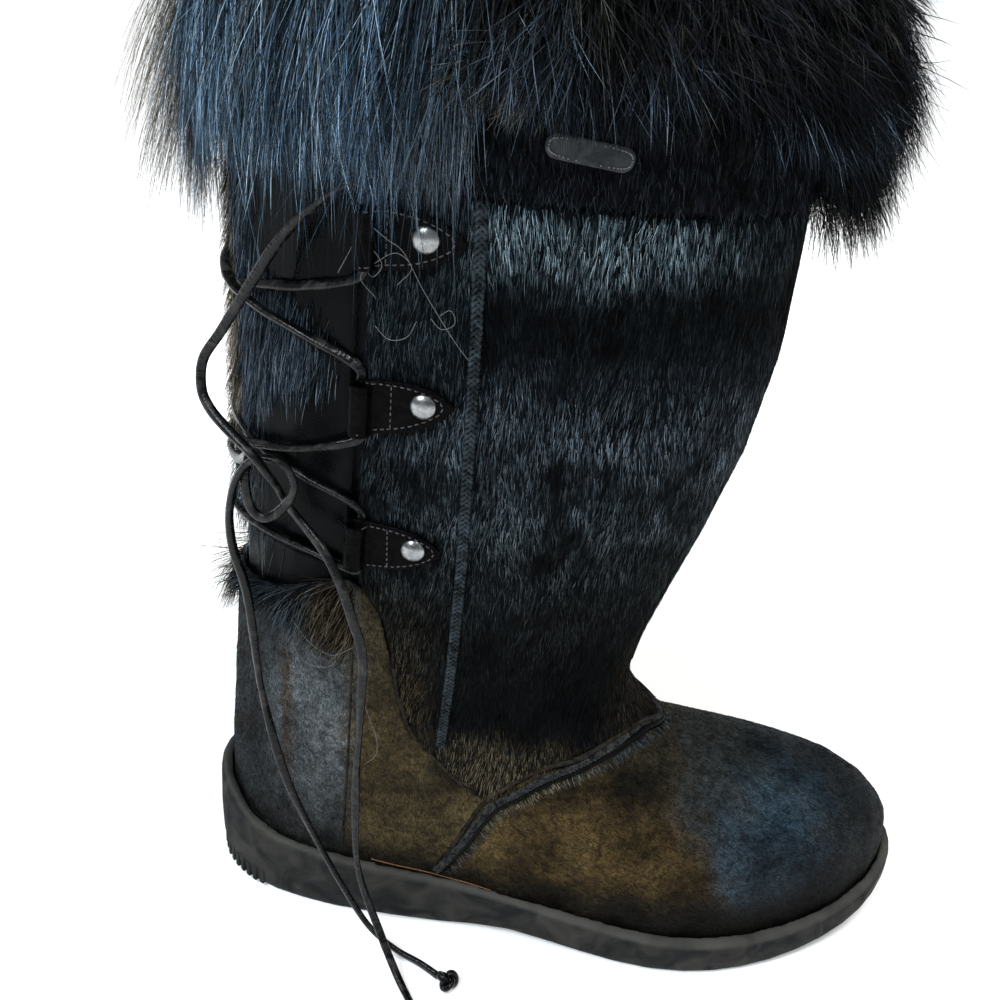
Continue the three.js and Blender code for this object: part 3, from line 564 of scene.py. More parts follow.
def leg_frame(turn, z):
    """The place on the leg at a turn and z millimetres up, and its outward direction."""
    axis = at_heel(LEG_MIDDLE, 0, z)
    place, _ = strike(leg_tree, axis + out_at(turn) * 0.3, -out_at(turn))
    if place is None:
        place = leg_tree.find_nearest(axis + out_at(turn) * 60 * MM)[0]
    angle = math.radians(turn)
    return place, Vector((-LEG_WIDE * math.cos(angle), -LEG_LONG * math.sin(angle), 0)).normalized()


def leg_place(turn, z, out=0.0):
    """A place on the leg, or `out` millimetres off it."""
    place, outward = leg_frame(turn, z)
    return place + outward * out * MM


# ---------- hair on the shaft ----------
# Black short-haired hide, worn with the nap running down the leg. The bands where the light catches the lie
# of the hair are painted sheen in the hairs' tints: blue-grey under the collar, darker below that and
# nearly black at the ankle.
def inside_line(places):
    """For each place, the middle of the boot that it faces away from."""
    foot = leg_core(places)
    foot[:, 0] = np.clip(places[:, 0], at_heel(45, 0, 0).x, at_heel(165, 0, 0).x)
    foot[:, 2] = np.minimum(places[:, 2], FOOT_LINE)
    return np.where((places[:, 2] > ANKLE)[:, None], leg_core(places), foot)


def scatter(piece, count, seed, wanted=None, core=inside_line):
    """Even random roots on a skin's outer face, with the outward direction at each."""
    mesh = piece.data
    mesh.calc_loop_triangles()
    corners = np.empty(len(mesh.loop_triangles) * 3, np.int32)
    mesh.loop_triangles.foreach_get("vertices", corners)
    corners = corners.reshape(-1, 3)
    normals = rows_of(mesh, "normal")
    a, b, c = (rows_of(mesh, "co")[corners[:, k]] for k in range(3))
    middle = (a + b + c) / 3
    weight = np.linalg.norm(np.cross(b - a, c - a), axis=1)
    weight *= (normals[corners].mean(axis=1) * unit(middle - core(middle))).sum(axis=1) > 0.15
    draw = np.random.default_rng(seed)
    chosen = draw.choice(len(corners), count, p=weight / weight.sum())
    u, v = draw.random((2, count, 1))
    u, v = np.where(u + v > 1, 1 - u, u), np.where(u + v > 1, 1 - v, v)
    roots = a[chosen] + u * (b - a)[chosen] + v * (c - a)[chosen]
    at_a, at_b, at_c = (normals[corners[chosen, k]] for k in range(3))
    outward = unit(at_a * (1 - u - v) + at_b * u + at_c * v)
    if wanted is not None:
        kept = wanted(roots, outward)
        roots, outward = roots[kept], outward[kept]
    return roots, outward


def soft_noise(places, size, shift):
    """A smooth random value, about -1 to 1, that varies over `size` metres."""
    return np.array([noise.noise(Vector(p) / size + Vector((shift, -shift, 2 * shift))) for p in places])


def from_heel(places):
    """Places in millimetres from the back of the heel on the ground."""
    return (places - np.array(heel)) / MM


HAIR_OUT = 12 * MM  # how far hair may stand outside the frame's own box
reach_low, reach_high = np.array(cad_box[0]) - HAIR_OUT, np.array(cad_box[1]) + HAIR_OUT


def loose(draw, nap, unruly, *ranges):
    """From a seed or a generator: the nap made unruly, then for each root one value in each range."""
    draw = np.random.default_rng(draw)
    nap = nap + draw.normal(0, unruly, nap.shape)
    return nap, *(draw.uniform(low, high, len(nap)) for low, high in ranges)


def hair(name, roots, outward, nap, length, wide, lift, fall, cuts, tint, finish, slot, seed, curl=0.0,
         tips=1.0, gather=None, weight=0.0):
    """Tapered flat hairs in one mesh, length and wide in millimetres. lift and fall are degrees off the
    skin at root and tip; cuts is the number of segments; curl sways the tip; tips lightens it towards the
    tip, partly a pale tip and partly a painted highlight; gather gives each hair the root of its lock, and
    weight pulls it down. Each hair is also painted darker towards its root, as shade."""
    count = len(roots)
    draw = np.random.default_rng(seed)
    nap = unit(nap - outward * (nap * outward).sum(axis=1, keepdims=True))
    side = np.cross(nap, outward)
    sway = draw.normal(0, curl, (count, 1)) if curl else 0.0
    stride = (length * MM)[:, None] / cuts
    lift, fall = np.radians(lift)[:, None], np.radians(fall)[:, None]
    rows = [roots]
    for k in range(cuts):
        t = (k + 0.5) / cuts
        angle = lift * (1 - t) + fall * t
        heading = nap * np.cos(angle) + outward * np.sin(angle) + side * sway * t
        heading[:, 2] -= weight * t
        rows.append(rows[-1] + unit(heading) * stride)
    rows = np.stack(rows, axis=1)
    share = np.linspace(0, 1, cuts + 1)
    if gather is not None:
        pull = (share ** 1.4)[None, :, None] * draw.uniform(0.45, 0.95, (count, 1, 1))
        rows += (gather - roots)[:, None] * pull
    stretch, base = rows[:, 1:] - rows[:, :1], rows[:, :1]
    room = np.where(stretch > 0, reach_high - base, base - reach_low) / np.maximum(np.abs(stretch), 1e-9)
    rows = base + (rows - base) * np.clip(room.min(axis=(1, 2)), 0.05, 1)[:, None, None]
    roll = np.radians(draw.uniform(-50, 50, (count, 1)))
    across = side * np.cos(roll) + outward * np.sin(roll)
    taper = 1 - 0.75 * share[:-1] ** 1.6
    half = (wide * MM)[:, None, None] * taper[None, :, None] / 2 * across[:, None]
    per = 2 * cuts + 1
    corners = np.empty((count, per, 3))
    corners[:, 0:-1:2] = rows[:, :-1] - half
    corners[:, 1:-1:2] = rows[:, :-1] + half
    corners[:, -1] = rows[:, -1]
    quads = [corner + 2 * k for k in range(cuts - 1) for corner in (0, 1, 3, 2)]
    loop = np.array([*quads, per - 3, per - 2, per - 1])
    loops = (loop[None] + per * np.arange(count)[:, None]).ravel().astype(np.int32)
    sizes = np.tile([4] * (cuts - 1) + [3], count)
    starts = np.concatenate([[0], np.cumsum(sizes)[:-1]]).astype(np.int32)
    mesh = bpy.data.meshes.new(name)
    mesh.vertices.add(count * per)
    mesh.vertices.foreach_set("co", corners.astype(np.float32).ravel())
    mesh.loops.add(len(loops))
    mesh.loops.foreach_set("vertex_index", loops)
    mesh.polygons.add(len(starts))
    mesh.polygons.foreach_set("loop_start", starts)
    mesh.update(calc_edges=True)
    mesh.shade_smooth()
    along = np.append(np.repeat(share[:-1], 2), 1.0)
    # Painted shade darkens each hair towards its root; tips lightens it towards the tip, partly pale and
    # partly a painted highlight.
    shade = (0.45 + 0.55 * np.minimum(1, along * 2.2)) * (1 + (tips - 1) * along ** 2)
    colours = np.ones((count, per, 4), np.float32)
    colours[:, :, :3] = tint[:, None] * shade[None, :, None]
    mesh.attributes.new("tint", "FLOAT_COLOR", "POINT").data.foreach_set("color", colours.ravel())
    cells = math.ceil(math.sqrt(count))
    cell = np.stack(np.divmod(np.arange(count), cells)[::-1], axis=1)
    spread = np.stack([np.append(np.tile([0.15, 0.85], cuts), 0.5), 0.1 + 0.8 * along], axis=1)
    flat = (cell[:, None] + spread[loop][None]) / cells
    mesh.uv_layers.new(name="OFBake").data.foreach_set("uv", flat.astype(np.float32).ravel())
    dressed(linked(name, mesh), finish)


def hair_finish(name, rough, gloss):
    """Natural hair: each hair's own tint, a little uneven along it, with a low gloss."""
    made, tree = new_material(name)
    place = add_node(tree, "TexCoord", "Object")
    uneven = add_node(tree, "TexNoise", "Fac", {"Vector": place, "Scale": 700.0})
    own_tint(made, spread_to(tree, uneven, 0.3, 0.7, 0.6, 1.4))
    shade(made, {
        "Roughness": spread_to(tree, uneven, 0, 1, rough - 0.1, rough + 0.1), "Specular IOR Level": gloss,
    })
    return made


def table(rows, at):
    """A table's columns, read at each place along its first column with straight lines between rows."""
    rows = np.array(rows, float)
    return np.stack([np.interp(at, rows[:, 0], rows[:, k]) for k in range(1, rows.shape[1])], axis=1)


COVER_REACH = 6 * MM  # what lies nearer than this covers the hair under it


def clear_of(tree):
    """A test for the roots that nothing in the tree lies on."""
    def clear(roots, outward):
        return np.array([
            tree.ray_cast(Vector(p) - Vector(o) * MM, Vector(o), COVER_REACH)[0] is None
            for p, o in zip(roots, outward)
        ])
    return clear


def speckled_with_glints(mean, seed, low=0.15, power=2.0, fade=0.6):
    """Each hair's tint: mostly dark with a few light and greyer ones, and `mean` on the average. The light
    ones are partly a random spread of tone and partly painted glints.
    """
    r = np.random.default_rng(seed).random((len(mean), 1)) ** power
    grey = mean @ np.array([[0.25], [0.6], [0.15]])
    return (mean + (grey * (1.06, 1.0, 0.95) - mean) * fade * r) * (low + (1 - low) * (power + 1) * r)


def step(value, start, end):
    """0 before start, 1 past end and a smooth rise between."""
    t = np.clip((value - start) / (end - start), 0, 1)
    return t * t * (3 - 2 * t)


def between(value, start, full, fading, end):
    """0 outside start and end, 1 from full to fading and smooth on both flanks."""
    return step(value, start, full) * (1 - step(value, fading, end))


def laid(mean, *patches):
    """The mean tints with colours laid over them in turn, each where its amount is near 1."""
    for amount, colour in patches:
        amount = np.clip(amount, 0, 1)[:, None]
        mean = np.array(mean) * (1 - amount) + np.array(colour) * amount
    return mean


def hanging(roots, x=0.0, y=0.0):
    """A nap straight down at each root, leaning by x and y."""
    return np.stack(np.broadcast_arrays(x, y, -np.ones(len(roots))), axis=1)


# Height above the ground, then the mean tint there: the hair's own colour with the painted sheen bands in it.
shaft_tints_with_sheen = [
    (60, 0.03, 0.026, 0.019), (78, 0.01, 0.0095, 0.008), (95, 0.0015, 0.002, 0.002),
    (120, 0.0015, 0.0022, 0.0022), (140, 0.004, 0.0055, 0.006), (160, 0.009, 0.012, 0.013),
    (180, 0.022, 0.031, 0.036), (200, 0.032, 0.046, 0.057), (225, 0.042, 0.06, 0.078),
    (238, 0.018, 0.027, 0.036), (248, 0.004, 0.0065, 0.0085), (261, 0.0025, 0.0045, 0.006),
    (267, 0.02, 0.03, 0.038), (274, 0.09, 0.14, 0.168), (287, 0.1, 0.16, 0.2),
]
short_hair = hair_finish("short_hair", 0.5, 0.025)
uncovered = clear_of(tree_of(*(
    node for name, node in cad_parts.items()
    if name.startswith("tab_") or name in ("label_plate", "collar_band", "outsole")
)))
roots, outward = scatter(shaft_skin, 166000, 11, uncovered)
x, _, z = from_heel(roots).T
mean = table(shaft_tints_with_sheen, z + 5 * soft_noise(roots, 26 * MM, 9.0) - 0.03 * (x - 110))
# The painted sheen under the collar is held down towards the front.
mean *= 1 - 0.75 * (step(x, 128, 172) * step(z, 262, 268))[:, None]
broad, close = soft_noise(roots * (1, 1, 0.8), 13 * MM, 3.0), soft_noise(roots * (1, 1, 0.5), 4 * MM, 5.0)
mean *= np.clip(1 + 1.1 * broad + 0.8 * close, 0.1, 3)[:, None]
# Painted bluish sheen over the back of the shaft, above about 240 mm.
panel_sheen = step(z + 5 * broad, 232, 246) * (1 - step(x, 80, 88)) * (1 + 0.6 * close)
mean = laid(mean, (0.85 * panel_sheen, (0.025, 0.041, 0.052)))
mean *= 1 - 0.35 * (step(z, 168, 180) * (1 - step(x, 80, 86)))[:, None]
brown = step(168 - z + 9 * broad, 0, 55) * (1 - step(x + 9 * broad, 72, 94)) * step(z, 60, 84)
low_front = step(x, 84, 92) * (1 - step(z + 9 * broad + 0.35 * (x - 90), 88, 112))
mean = laid(
    mean, (0.85 * brown, (0.05, 0.037, 0.018)), (0.9 * low_front, (0.077, 0.06, 0.031)),
    (0.6 * step(x, 140, 158) * (1 - step(z, 112, 150)), (0.03, 0.0235, 0.013)),
)
nap = hanging(roots, 0.28 * soft_noise(roots, 22 * MM, 7.0) + 0.15 * close)
hair(
    "shaft_hair", roots, outward, *loose(12, nap, 0.12, (2.3, 5.2), (0.13, 0.25), (4, 15), (-3, 6)), 1,
    speckled_with_glints(np.clip(mean, 0.0004, 1), 13, 0.1, 4.0, 0.45), short_hair, "leg_hide", 14, curl=0.1,
)

# ---------- hair on the foot ----------
# The vamp, quarters and heel are the same hide in brown, its hair short and rubbed: grey and smooth at
# the heel with a painted sheen on it and one brown stripe, speckled gold-brown over the vamp with the
# specks partly painted glints, and blue-black at the toe, where the blue is a painted sheen with a
# brighter painted glint in it.
def foot_tint(places):
    """The foot's colour at each place, with the painted sheen on the heel and at the toe, and the painted
    glint.
    """
    x, y, z = from_heel(places).T
    wander, fine = soft_noise(places, 16 * MM, 2.0), soft_noise(places, 4 * MM, 4.0)
    drift = soft_noise(places, 28 * MM, 12.0)
    vamp_start = 96 + np.clip(z - 20, 0, 80) * 0.62
    # sheen: a painted highlight in the middle of the heel's grey.
    sheen = (1 - step(np.hypot((x - 42) * 1.6, z - 88) + 12 * wander, 18, 50)) * (1 - step(x, 50, 58))
    stripe = (1 - step(np.abs(x - 31.6 + 2 * fine), 1, 3)) * step(130 - z, 0, 20) * step(z, 52, 66)
    # toe and glint mark where the painted blue sheen and its brighter painted glint lie at the toe.
    toe = x - 0.7 * np.clip(62 - z, 0, 60) + 16 * wander + 8 * fine + 10 * drift
    glint = np.hypot(x - 222, (y + 16) * 1.1) + 16 * wander + 8 * fine
    above_lip = z + 7 * wander - 0.14 * np.clip(x - 190, 0, 60)
    by_sole = z - np.interp(x, [0, 62, 143, 260], [34, 27, 18.6, 20])
    tint = laid(
        (0.04, 0.026, 0.0095),
        (step(x + 4 * wander, 56, 66) * (1 - step(x, vamp_start - 8, vamp_start)), (0.045, 0.033, 0.0145)),
        (step(z + 8 * wander, 96, 130) * between(x, 50, 58, 72, 90), (0.026, 0.02, 0.0105)),
        (1 - step(x + 2 * wander, 52, 60), (0.042, 0.047, 0.05)),
        (0.9 * sheen, (0.064, 0.072, 0.077)),
        (0.85 * (1 - step(x + 5 * wander, 15, 40)), (0.012, 0.0145, 0.016)),
        (0.8 * stripe, (0.03, 0.02, 0.012)),
        (0.9 * step(toe, 168, 200), (0.0135, 0.0245, 0.035)),
        (0.8 * (1 - step(glint, 2, 30)), (0.02, 0.042, 0.063)),
        (0.85 * step(x + 14 * wander + 8 * fine, 230, 256), (0.0065, 0.007, 0.0068)),
        (0.9 * step(x, 130, 175) * (1 - step(above_lip, 22, 42)), (0.004, 0.0045, 0.0048)),
        (0.7 * (1 - step(np.hypot(x - 175, (z - 75) * 1.3) + 5 * wander, 2, 12)), (0.05, 0.041, 0.024)),
        (0.75 * step(z + 4 * wander, 56, 72) * step(x, 140, 165), (0.011, 0.0105, 0.0075)),
        (0.85 * (1 - step(by_sole + 4 * wander, 1, 17)), (0.006, 0.0055, 0.0045)),
    )
    return np.clip(tint * np.clip(1 + 0.9 * wander + 0.5 * fine + 0.8 * drift, 0.25, 2.6)[:, None], 0.0008, 1)


places = rows_of(foot_skin.data, "co")
inner = ((places - inside_line(places)) * rows_of(foot_skin.data, "normal")).sum(axis=1) < 0
bare = np.ones((len(places), 4), np.float32)
bare[:, :3] = foot_tint(places)
INNER_TINT = 0.004
bare[inner, :3] = INNER_TINT
foot_skin.data.attributes.new("tint", "FLOAT_COLOR", "POINT").data.foreach_set("color", bare.ravel())

roots, outward = scatter(foot_skin, 78000, 21, uncovered)
forward = step(from_heel(roots)[:, 0], 85, 130)
nap = np.stack([
    0.15 + 0.95 * forward + 0.35 * soft_noise(roots, 18 * MM, 6.0), 0.35 * soft_noise(roots, 18 * MM, 8.0),
    -1 + 0.35 * forward,
], axis=1)
hair(
    "foot_hair", roots, outward, *loose(22, nap, 0.2, (1.0, 2.4), (0.12, 0.24), (4, 20), (-3, 8)), 1,
    speckled_with_glints(foot_tint(roots), 23, 0.35, 3.4, 0.25), short_hair, "foot_hide", 24, curl=0.15,
)

# ---------- long hair on the gusset and quarter fringe ----------
# The gusset keeps its long hair behind the lace. It is blue-black, browner at the back, and thins out
# towards the lateral panel, where the leather is bare. Longer hair also hangs from the quarter's top edge.
def turn_of(places):
    """Degrees round the leg, 0 at the centre back and 90 on the lateral side."""
    x, y, _ = from_heel(places).T
    return np.degrees(np.arctan2(-y / LEG_WIDE, -(x - LEG_MIDDLE) / LEG_LONG))


def on_gusset(roots, outward):
    """Keeps the roots behind the lace, fewer of them at the edges and low down."""
    turn, z = turn_of(roots), from_heel(roots)[:, 2]
    edge = 30 + 22 * between(z, 214, 230, 246, 262)
    chance = (1 - step(turn, edge - 8, edge + 8)) * (0.35 + 0.65 * step(z, 196, 216))
    chance *= (turn > -11) & (z > 158)
    return uncovered(roots, outward) & (np.random.default_rng(31).random(len(roots)) < chance)


roots, outward = scatter(gusset_skin, 30000, 32, on_gusset)
turn, z = turn_of(roots), from_heel(roots)[:, 2]
locks = soft_noise(roots * (1, 1, 0.3), 6 * MM, 11.0)
at_back = step(turn + 6 * locks, -30, -14) - step(turn + 6 * locks, 12, 22)
mean = laid(
    (0.022, 0.037, 0.054), (at_back, (0.1, 0.08, 0.05)), (1 - step(z, 180, 205), (0.022, 0.032, 0.04)),
) * (1 + 0.6 * locks)[:, None]
nap = hanging(roots, 0.3 * soft_noise(roots, 14 * MM, 15.0), 0.3 * soft_noise(roots, 14 * MM, 16.0))
nap, long, wide, lift, fall = loose(33, nap, 0.14, (7, 15), (0.15, 0.27), (6, 22), (-2, 8))
hair(
    "gusset_hair", roots, outward, nap, long, wide, lift + 22 * (turn < 10), fall + 8 * (turn < 10), 4,
    speckled_with_glints(mean, 34, 0.06, 3.2), short_hair, "gusset_hide", 35, curl=0.1, tips=1.5,
)


def on_quarter_top(roots, outward):
    """Keeps the roots along the quarter's top edge."""
    turn, z = turn_of(roots), from_heel(roots)[:, 2]
    return uncovered(roots, outward) & (z > 134 + 6 * np.sin(np.radians(turn * 3))) & (np.abs(turn) < 62)


roots, outward = scatter(foot_skin, 150000, 41, on_quarter_top)
turn = turn_of(roots)
turned = turn + 5 * soft_noise(roots, 8 * MM, 1.5)
mean = laid(
    (0.012, 0.02, 0.027),
    (step(turn + 8 * soft_noise(roots, 8 * MM, 1.0), 44, 58), (0.024, 0.0175, 0.009)),
    (step(turned, -28, -12) - step(turned, 2, 12), (0.11, 0.085, 0.05)),
)
nap = hanging(roots, -0.35 - 0.25 * soft_noise(roots, 10 * MM, 21.0), -0.15)
nap, long, *others = loose(42, nap, 0.16, (6, 16), (0.2, 0.34), (8, 34), (-4, 16))
hair(
    "quarter_fringe", roots, outward, nap, long * (1 + 0.7 * (np.abs(turn + 8) < 15)), *others, 4,
    speckled_with_glints(mean, 43, 0.06, 3.6), short_hair, "foot_hide", 44, curl=0.16, tips=1.5,
)

# ---------- seams ----------
# A narrow plaited strip covers the shaft's upright seam, and a finer one the vamp seam, with a furrow and
# a brush of hair beside it; the furrow is a near-black cord, its darkness standing for the furrow's shade.
# The other joins are plain: a fine dark cord sunk in the hair.
def on_skin(x, z, side, out):
    """A place on the boot's lateral (-1) or medial (1) face at x and z millimetres, `out` off it."""
    hit, normal = strike(leg_tree, at_heel(x, side * 200, z), Vector((0, -side, 0)))
    if hit is None or (hit - heel).y * side < 5 * MM:
        near, normal, _, _ = leg_tree.find_nearest(at_heel(x, side * LEG_SIDE, z))
        hit = at_heel(x, (near - heel).y / MM, z)
    return hit + normal * out * MM


def along_skin(line, side, out):
    """The places on one side's face along a line of x and z millimetres."""
    return [on_skin(x, z, side, out) for x, z in line]


def round_section(radius, sides, squash=1.0):
    """A plain round outline for a swept cord."""
    angles = [2 * math.pi * k / sides for k in range(sides)]
    return [(radius * MM * math.cos(a), radius * MM * squash * math.sin(a)) for a in angles]


def joined(name, pieces):
    """The pieces as one object."""
    only(pieces[0])
    for piece in pieces:
        piece.select_set(True)
    bpy.ops.object.join()
    pieces[0].name = pieces[0].data.name = name
    return pieces[0]


def plait(name, path, wide, thick, pitch, finish):
    """Three flat strands plaited along the path."""
    spacing = 0.55
    steps = smooth_path(path, spacing * MM)
    out = np.array([leg_tree.find_nearest(Vector(p))[1] for p in steps])
    across = np.cross(unit(np.gradient(steps, axis=0)), out)
    strands = []
    for k in range(3):
        phase = 2 * math.pi * (np.arange(len(steps)) * spacing / pitch + k / 3)
        route = (
            steps
            + across * (np.sin(phase) * wide * MM)[:, None]
            + out * (np.sin(2 * phase) * 0.32 * MM + 0.35 * MM)[:, None]
        )
        strands.append(swept(f"{name}_{k}", route, round_section(thick, 6, 0.65)))
    dressed(joined(name, strands), finish)


def sunk_cord(name, path, radius, finish):
    """One thin cord laid along the path."""
    dressed(swept(name, smooth_path(path, 1.2 * MM), round_section(radius, 8, 0.7)), finish)


seam_leather = smooth_leather(
    "seam_leather", (0.0025, 0.0035, 0.0042), (0.036, 0.048, 0.057), 0.25, 0.5, 240.0, 0.06,
)
edge_leather = smooth_leather("edge_leather", (0.002, 0.0018, 0.0016), (0.03, 0.026, 0.02), 0.35, 0.6, 240.0)
upright = [(85.5, 286), (86.9, 260.2), (88.4, 218.1), (89.6, 175.7), (89.7, 134.2), (88.7, 92)]
quarter_join = [
    (56.5, 161.5), (61.1, 154), (64.6, 148), (67.8, 136), (70.3, 124), (72.7, 112), (74.3, 106), (76.1, 100),
    (79.2, 94), (83.9, 88), (88.7, 82), (93.7, 76), (100, 70), (106, 65.5),
]
heel_join = [(55.5, 150), (55.8, 120), (55.5, 90), (55, 60), (54.5, 32)]
for name, side in (("lateral", -1), ("medial", 1)):
    plait(f"plaited_seam_{name}", along_skin(upright, side, 0.35), 1.3, 0.95, 5.2, seam_leather)
    sunk_cord(f"quarter_seam_{name}", along_skin(quarter_join, side, -0.45), 1.15, edge_leather)
    sunk_cord(f"heel_panel_seam_{name}", along_skin(heel_join, side, 0.15), 0.45, edge_leather)

    # The panel's back edge is bound with a narrow rubbed strip.
    binding = smooth_leather(
        f"panel_binding_{name}", (0.008, 0.009, 0.01), (0.05, 0.056, 0.06), 0.35, 0.6, 300.0,
    )
    edge_turn = 63.2 if side < 0 else -13.2
    panel_edge = [leg_place(edge_turn, z, 0.25) for z in range(286, 164, -6)]
    sunk_cord(f"panel_edge_{name}", panel_edge, 0.5, binding)

# Behind the medial panel the quarter's top edge meets the shaft. A turned edge closes that join.
foot_tree = tree_of(foot_skin)
top_edge = []
for turn in range(-58, -6, 4):
    for z in np.arange(176, 120, -0.6):
        axis = at_heel(LEG_MIDDLE, 0, z)
        hit, _ = strike(foot_tree, axis + out_at(turn) * 0.3, -out_at(turn))
        if hit is not None and (hit - axis).dot(out_at(turn)) > 20 * MM:
            top_edge.append(hit - out_at(turn) * 0.6 * MM)
            break
sunk_cord("quarter_top_edge", top_edge, 1.3, edge_leather)

# The vamp's seam as seen from the side, in millimetres from the heel.
vamp_seam = [
    (91.5, 27), (98.9, 44), (107.4, 63.5), (116, 71.5), (126.2, 78.8), (140.6, 84.1), (155.8, 87.9),
    (165, 87.4),
]


def beside_seam(at_ends, midway, out):
    """The vamp seam's way over the boot, moved towards the toe at its ends and midway up each side, and
    laid `out` off the hide."""
    x, z = np.array(vamp_seam).T
    ahead_x, ahead_z = np.gradient(x), np.gradient(z)
    up_side = np.sin(np.linspace(0, math.pi, len(x)))
    shift = (at_ends + (midway - at_ends) * up_side) / np.hypot(ahead_x, ahead_z)
    way = list(zip(x + shift * ahead_z, z - shift * ahead_x))
    over_front = leg_tree.find_nearest(at_heel(176 + at_ends, 0, 84))[0] + Vector((0, 0, out * MM))
    return [*along_skin(way, -1, out), over_front, *reversed(along_skin(way, 1, out))]


welt_skin = smooth_leather(
    "welt_leather", (0.0015, 0.0016, 0.0018), (0.022, 0.024, 0.026), 0.35, 0.6, 320.0, 0.05,
)
ridge_skin = smooth_leather(
    "ridge_leather", (0.0025, 0.0028, 0.003), (0.046, 0.047, 0.047), 0.35, 0.6, 420.0, 0.05,
)
sunk_cord("vamp_join", beside_seam(0, 0, -0.5), 1.5, edge_leather)
plait("vamp_welt", beside_seam(0.4, 3.6, 0.5), 1.0, 0.9, 4.4, ridge_skin)
# A near-black cord whose darkness stands for the shade in the furrow beside the welt.
sunk_cord("vamp_furrow_shade", beside_seam(2.0, 5.8, -0.1), 1.9, gusset_leather)

# The vamp's edge hair is caught in the seam and sticks out of it as a pale brush.
draw = np.random.default_rng(53)
line = smooth_path(beside_seam(3.4, 7.6, 0.1), 1.2 * MM)
line_out = np.array([leg_tree.find_nearest(Vector(p))[1] for p in line])
toeward = unit(np.cross(np.gradient(line, axis=0), line_out))
at = draw.integers(2, len(line) - 2, 2600)
along = (line[at + 1] - line[at - 1]) * draw.uniform(-0.5, 0.5, (len(at), 1))
roots = line[at] + along + toeward[at] * draw.uniform(-0.8, 1.2, (len(at), 1)) * MM
z = from_heel(roots)[:, 2]
mean = laid(
    (0.08, 0.067, 0.041),
    (step(z, 72, 84), (0.02, 0.028, 0.036)),
    (1 - step(z, 44, 58), (0.034, 0.033, 0.029)),
)
hair(
    "vamp_brush", roots, line_out[at],
    *loose(draw, toeward[at], 0.28, (2.0, 4.2), (0.16, 0.3), (12, 34), (-4, 12)), 2,
    speckled_with_glints(mean, 54, 0.2, 2.5), short_hair, "foot_hide", 55, curl=0.15,
)
front_seam = [leg_place(turn, z, 0.3) for turn, z in zip(np.linspace(171, 169, 14), range(282, 100, -13))]
sunk_cord("front_seam", front_seam, 0.9, welt_skin)

# ---------- lace held by the tabs ----------
# The same waxed cord, crossed over the gusset between the folded ends of the tabs.
TAB_HEIGHTS = {"top": 273.0, "middle": 223.5, "bottom": 176.3}
TAB_HALF_HIGH, TAB_THICK, FIT_GAP = 8.8, 1.7, 0.35
TUNNEL_OUT, PAST_TAB = 3.7, 10.8
EDGE_TURN = {"near": 62.2, "far": -12.0}
DEGREES_PER_MM = {"near": 0.685, "far": -1.15}
TUNNEL_TURN = {side: EDGE_TURN[side] + 1.2 * DEGREES_PER_MM[side] for side in EDGE_TURN}


def through_tab(side, level, downwards):
    """The cord's way through a tab's tunnel."""
    ends = [-PAST_TAB, -TAB_HALF_HIGH + 2, TAB_HALF_HIGH - 2, PAST_TAB]
    if downwards:
        ends.reverse()
    return [leg_place(TUNNEL_TURN[side], TAB_HEIGHTS[level] + up, TUNNEL_OUT) for up in ends]


def across_gusset(start, end, lift, bow=0.0):
    """The cord's way from one tab's mouth to another: side, level, and +1 its top or -1 its bottom."""
    (from_side, from_level, from_end), (to_side, to_level, to_end) = start, end
    low = TAB_HEIGHTS[from_level] + from_end * (PAST_TAB + 0.6)
    high = TAB_HEIGHTS[to_level] + to_end * (PAST_TAB + 0.6)
    heading = math.copysign(3, high - low) if high != low else 0.0
    places = []
    for t in (0.16, 0.33, 0.5, 0.67, 0.84):
        turn = TUNNEL_TURN[from_side] * (1 - t) + TUNNEL_TURN[to_side] * t
        z = (low + heading) * (1 - t) + (high - heading) * t + bow * math.sin(math.pi * t ** 0.7)
        share = 1.0 if t == 0.5 else 0.6 if 0.3 < t < 0.7 else 0.1
        places.append(leg_place(turn, z, 1.9 + (lift - 1.9) * share))
    return places


lower_strand = [
    *through_tab("near", "top", True),
    *across_gusset(("near", "top", -1), ("far", "middle", 1), 1.9),
    *through_tab("far", "middle", True),
    *across_gusset(("far", "middle", -1), ("near", "bottom", 1), 1.9),
    *through_tab("near", "bottom", True),
    *across_gusset(("near", "bottom", -1), ("far", "bottom", -1), 1.9, 3.2),
    *through_tab("far", "bottom", False),
]
upper_strand = [
    *through_tab("far", "top", True),
    *across_gusset(("far", "top", -1), ("near", "middle", 1), 4.7),
    *through_tab("near", "middle", True),
    leg_place(TUNNEL_TURN["near"] - 4, TAB_HEIGHTS["middle"] - PAST_TAB - 3.2, TUNNEL_OUT - 0.2),
    *across_gusset(("near", "middle", -1), ("far", "bottom", 1), 4.7, -2.3),
    leg_place(-5.5, 191.4, 5),
    leg_place(-10, 189.6, 5.4),
    lower_strand[-1],
]
strands = [
    swept(f"held_{k}", smooth_path(strand, 1.3 * MM), cord_section, turn=lambda t: 0.8 * math.sin(14 * t))
    for k, strand in enumerate((lower_strand, upper_strand))
]
dressed(joined("lace_between_tabs", strands), cord_finish, "lace_crossings")

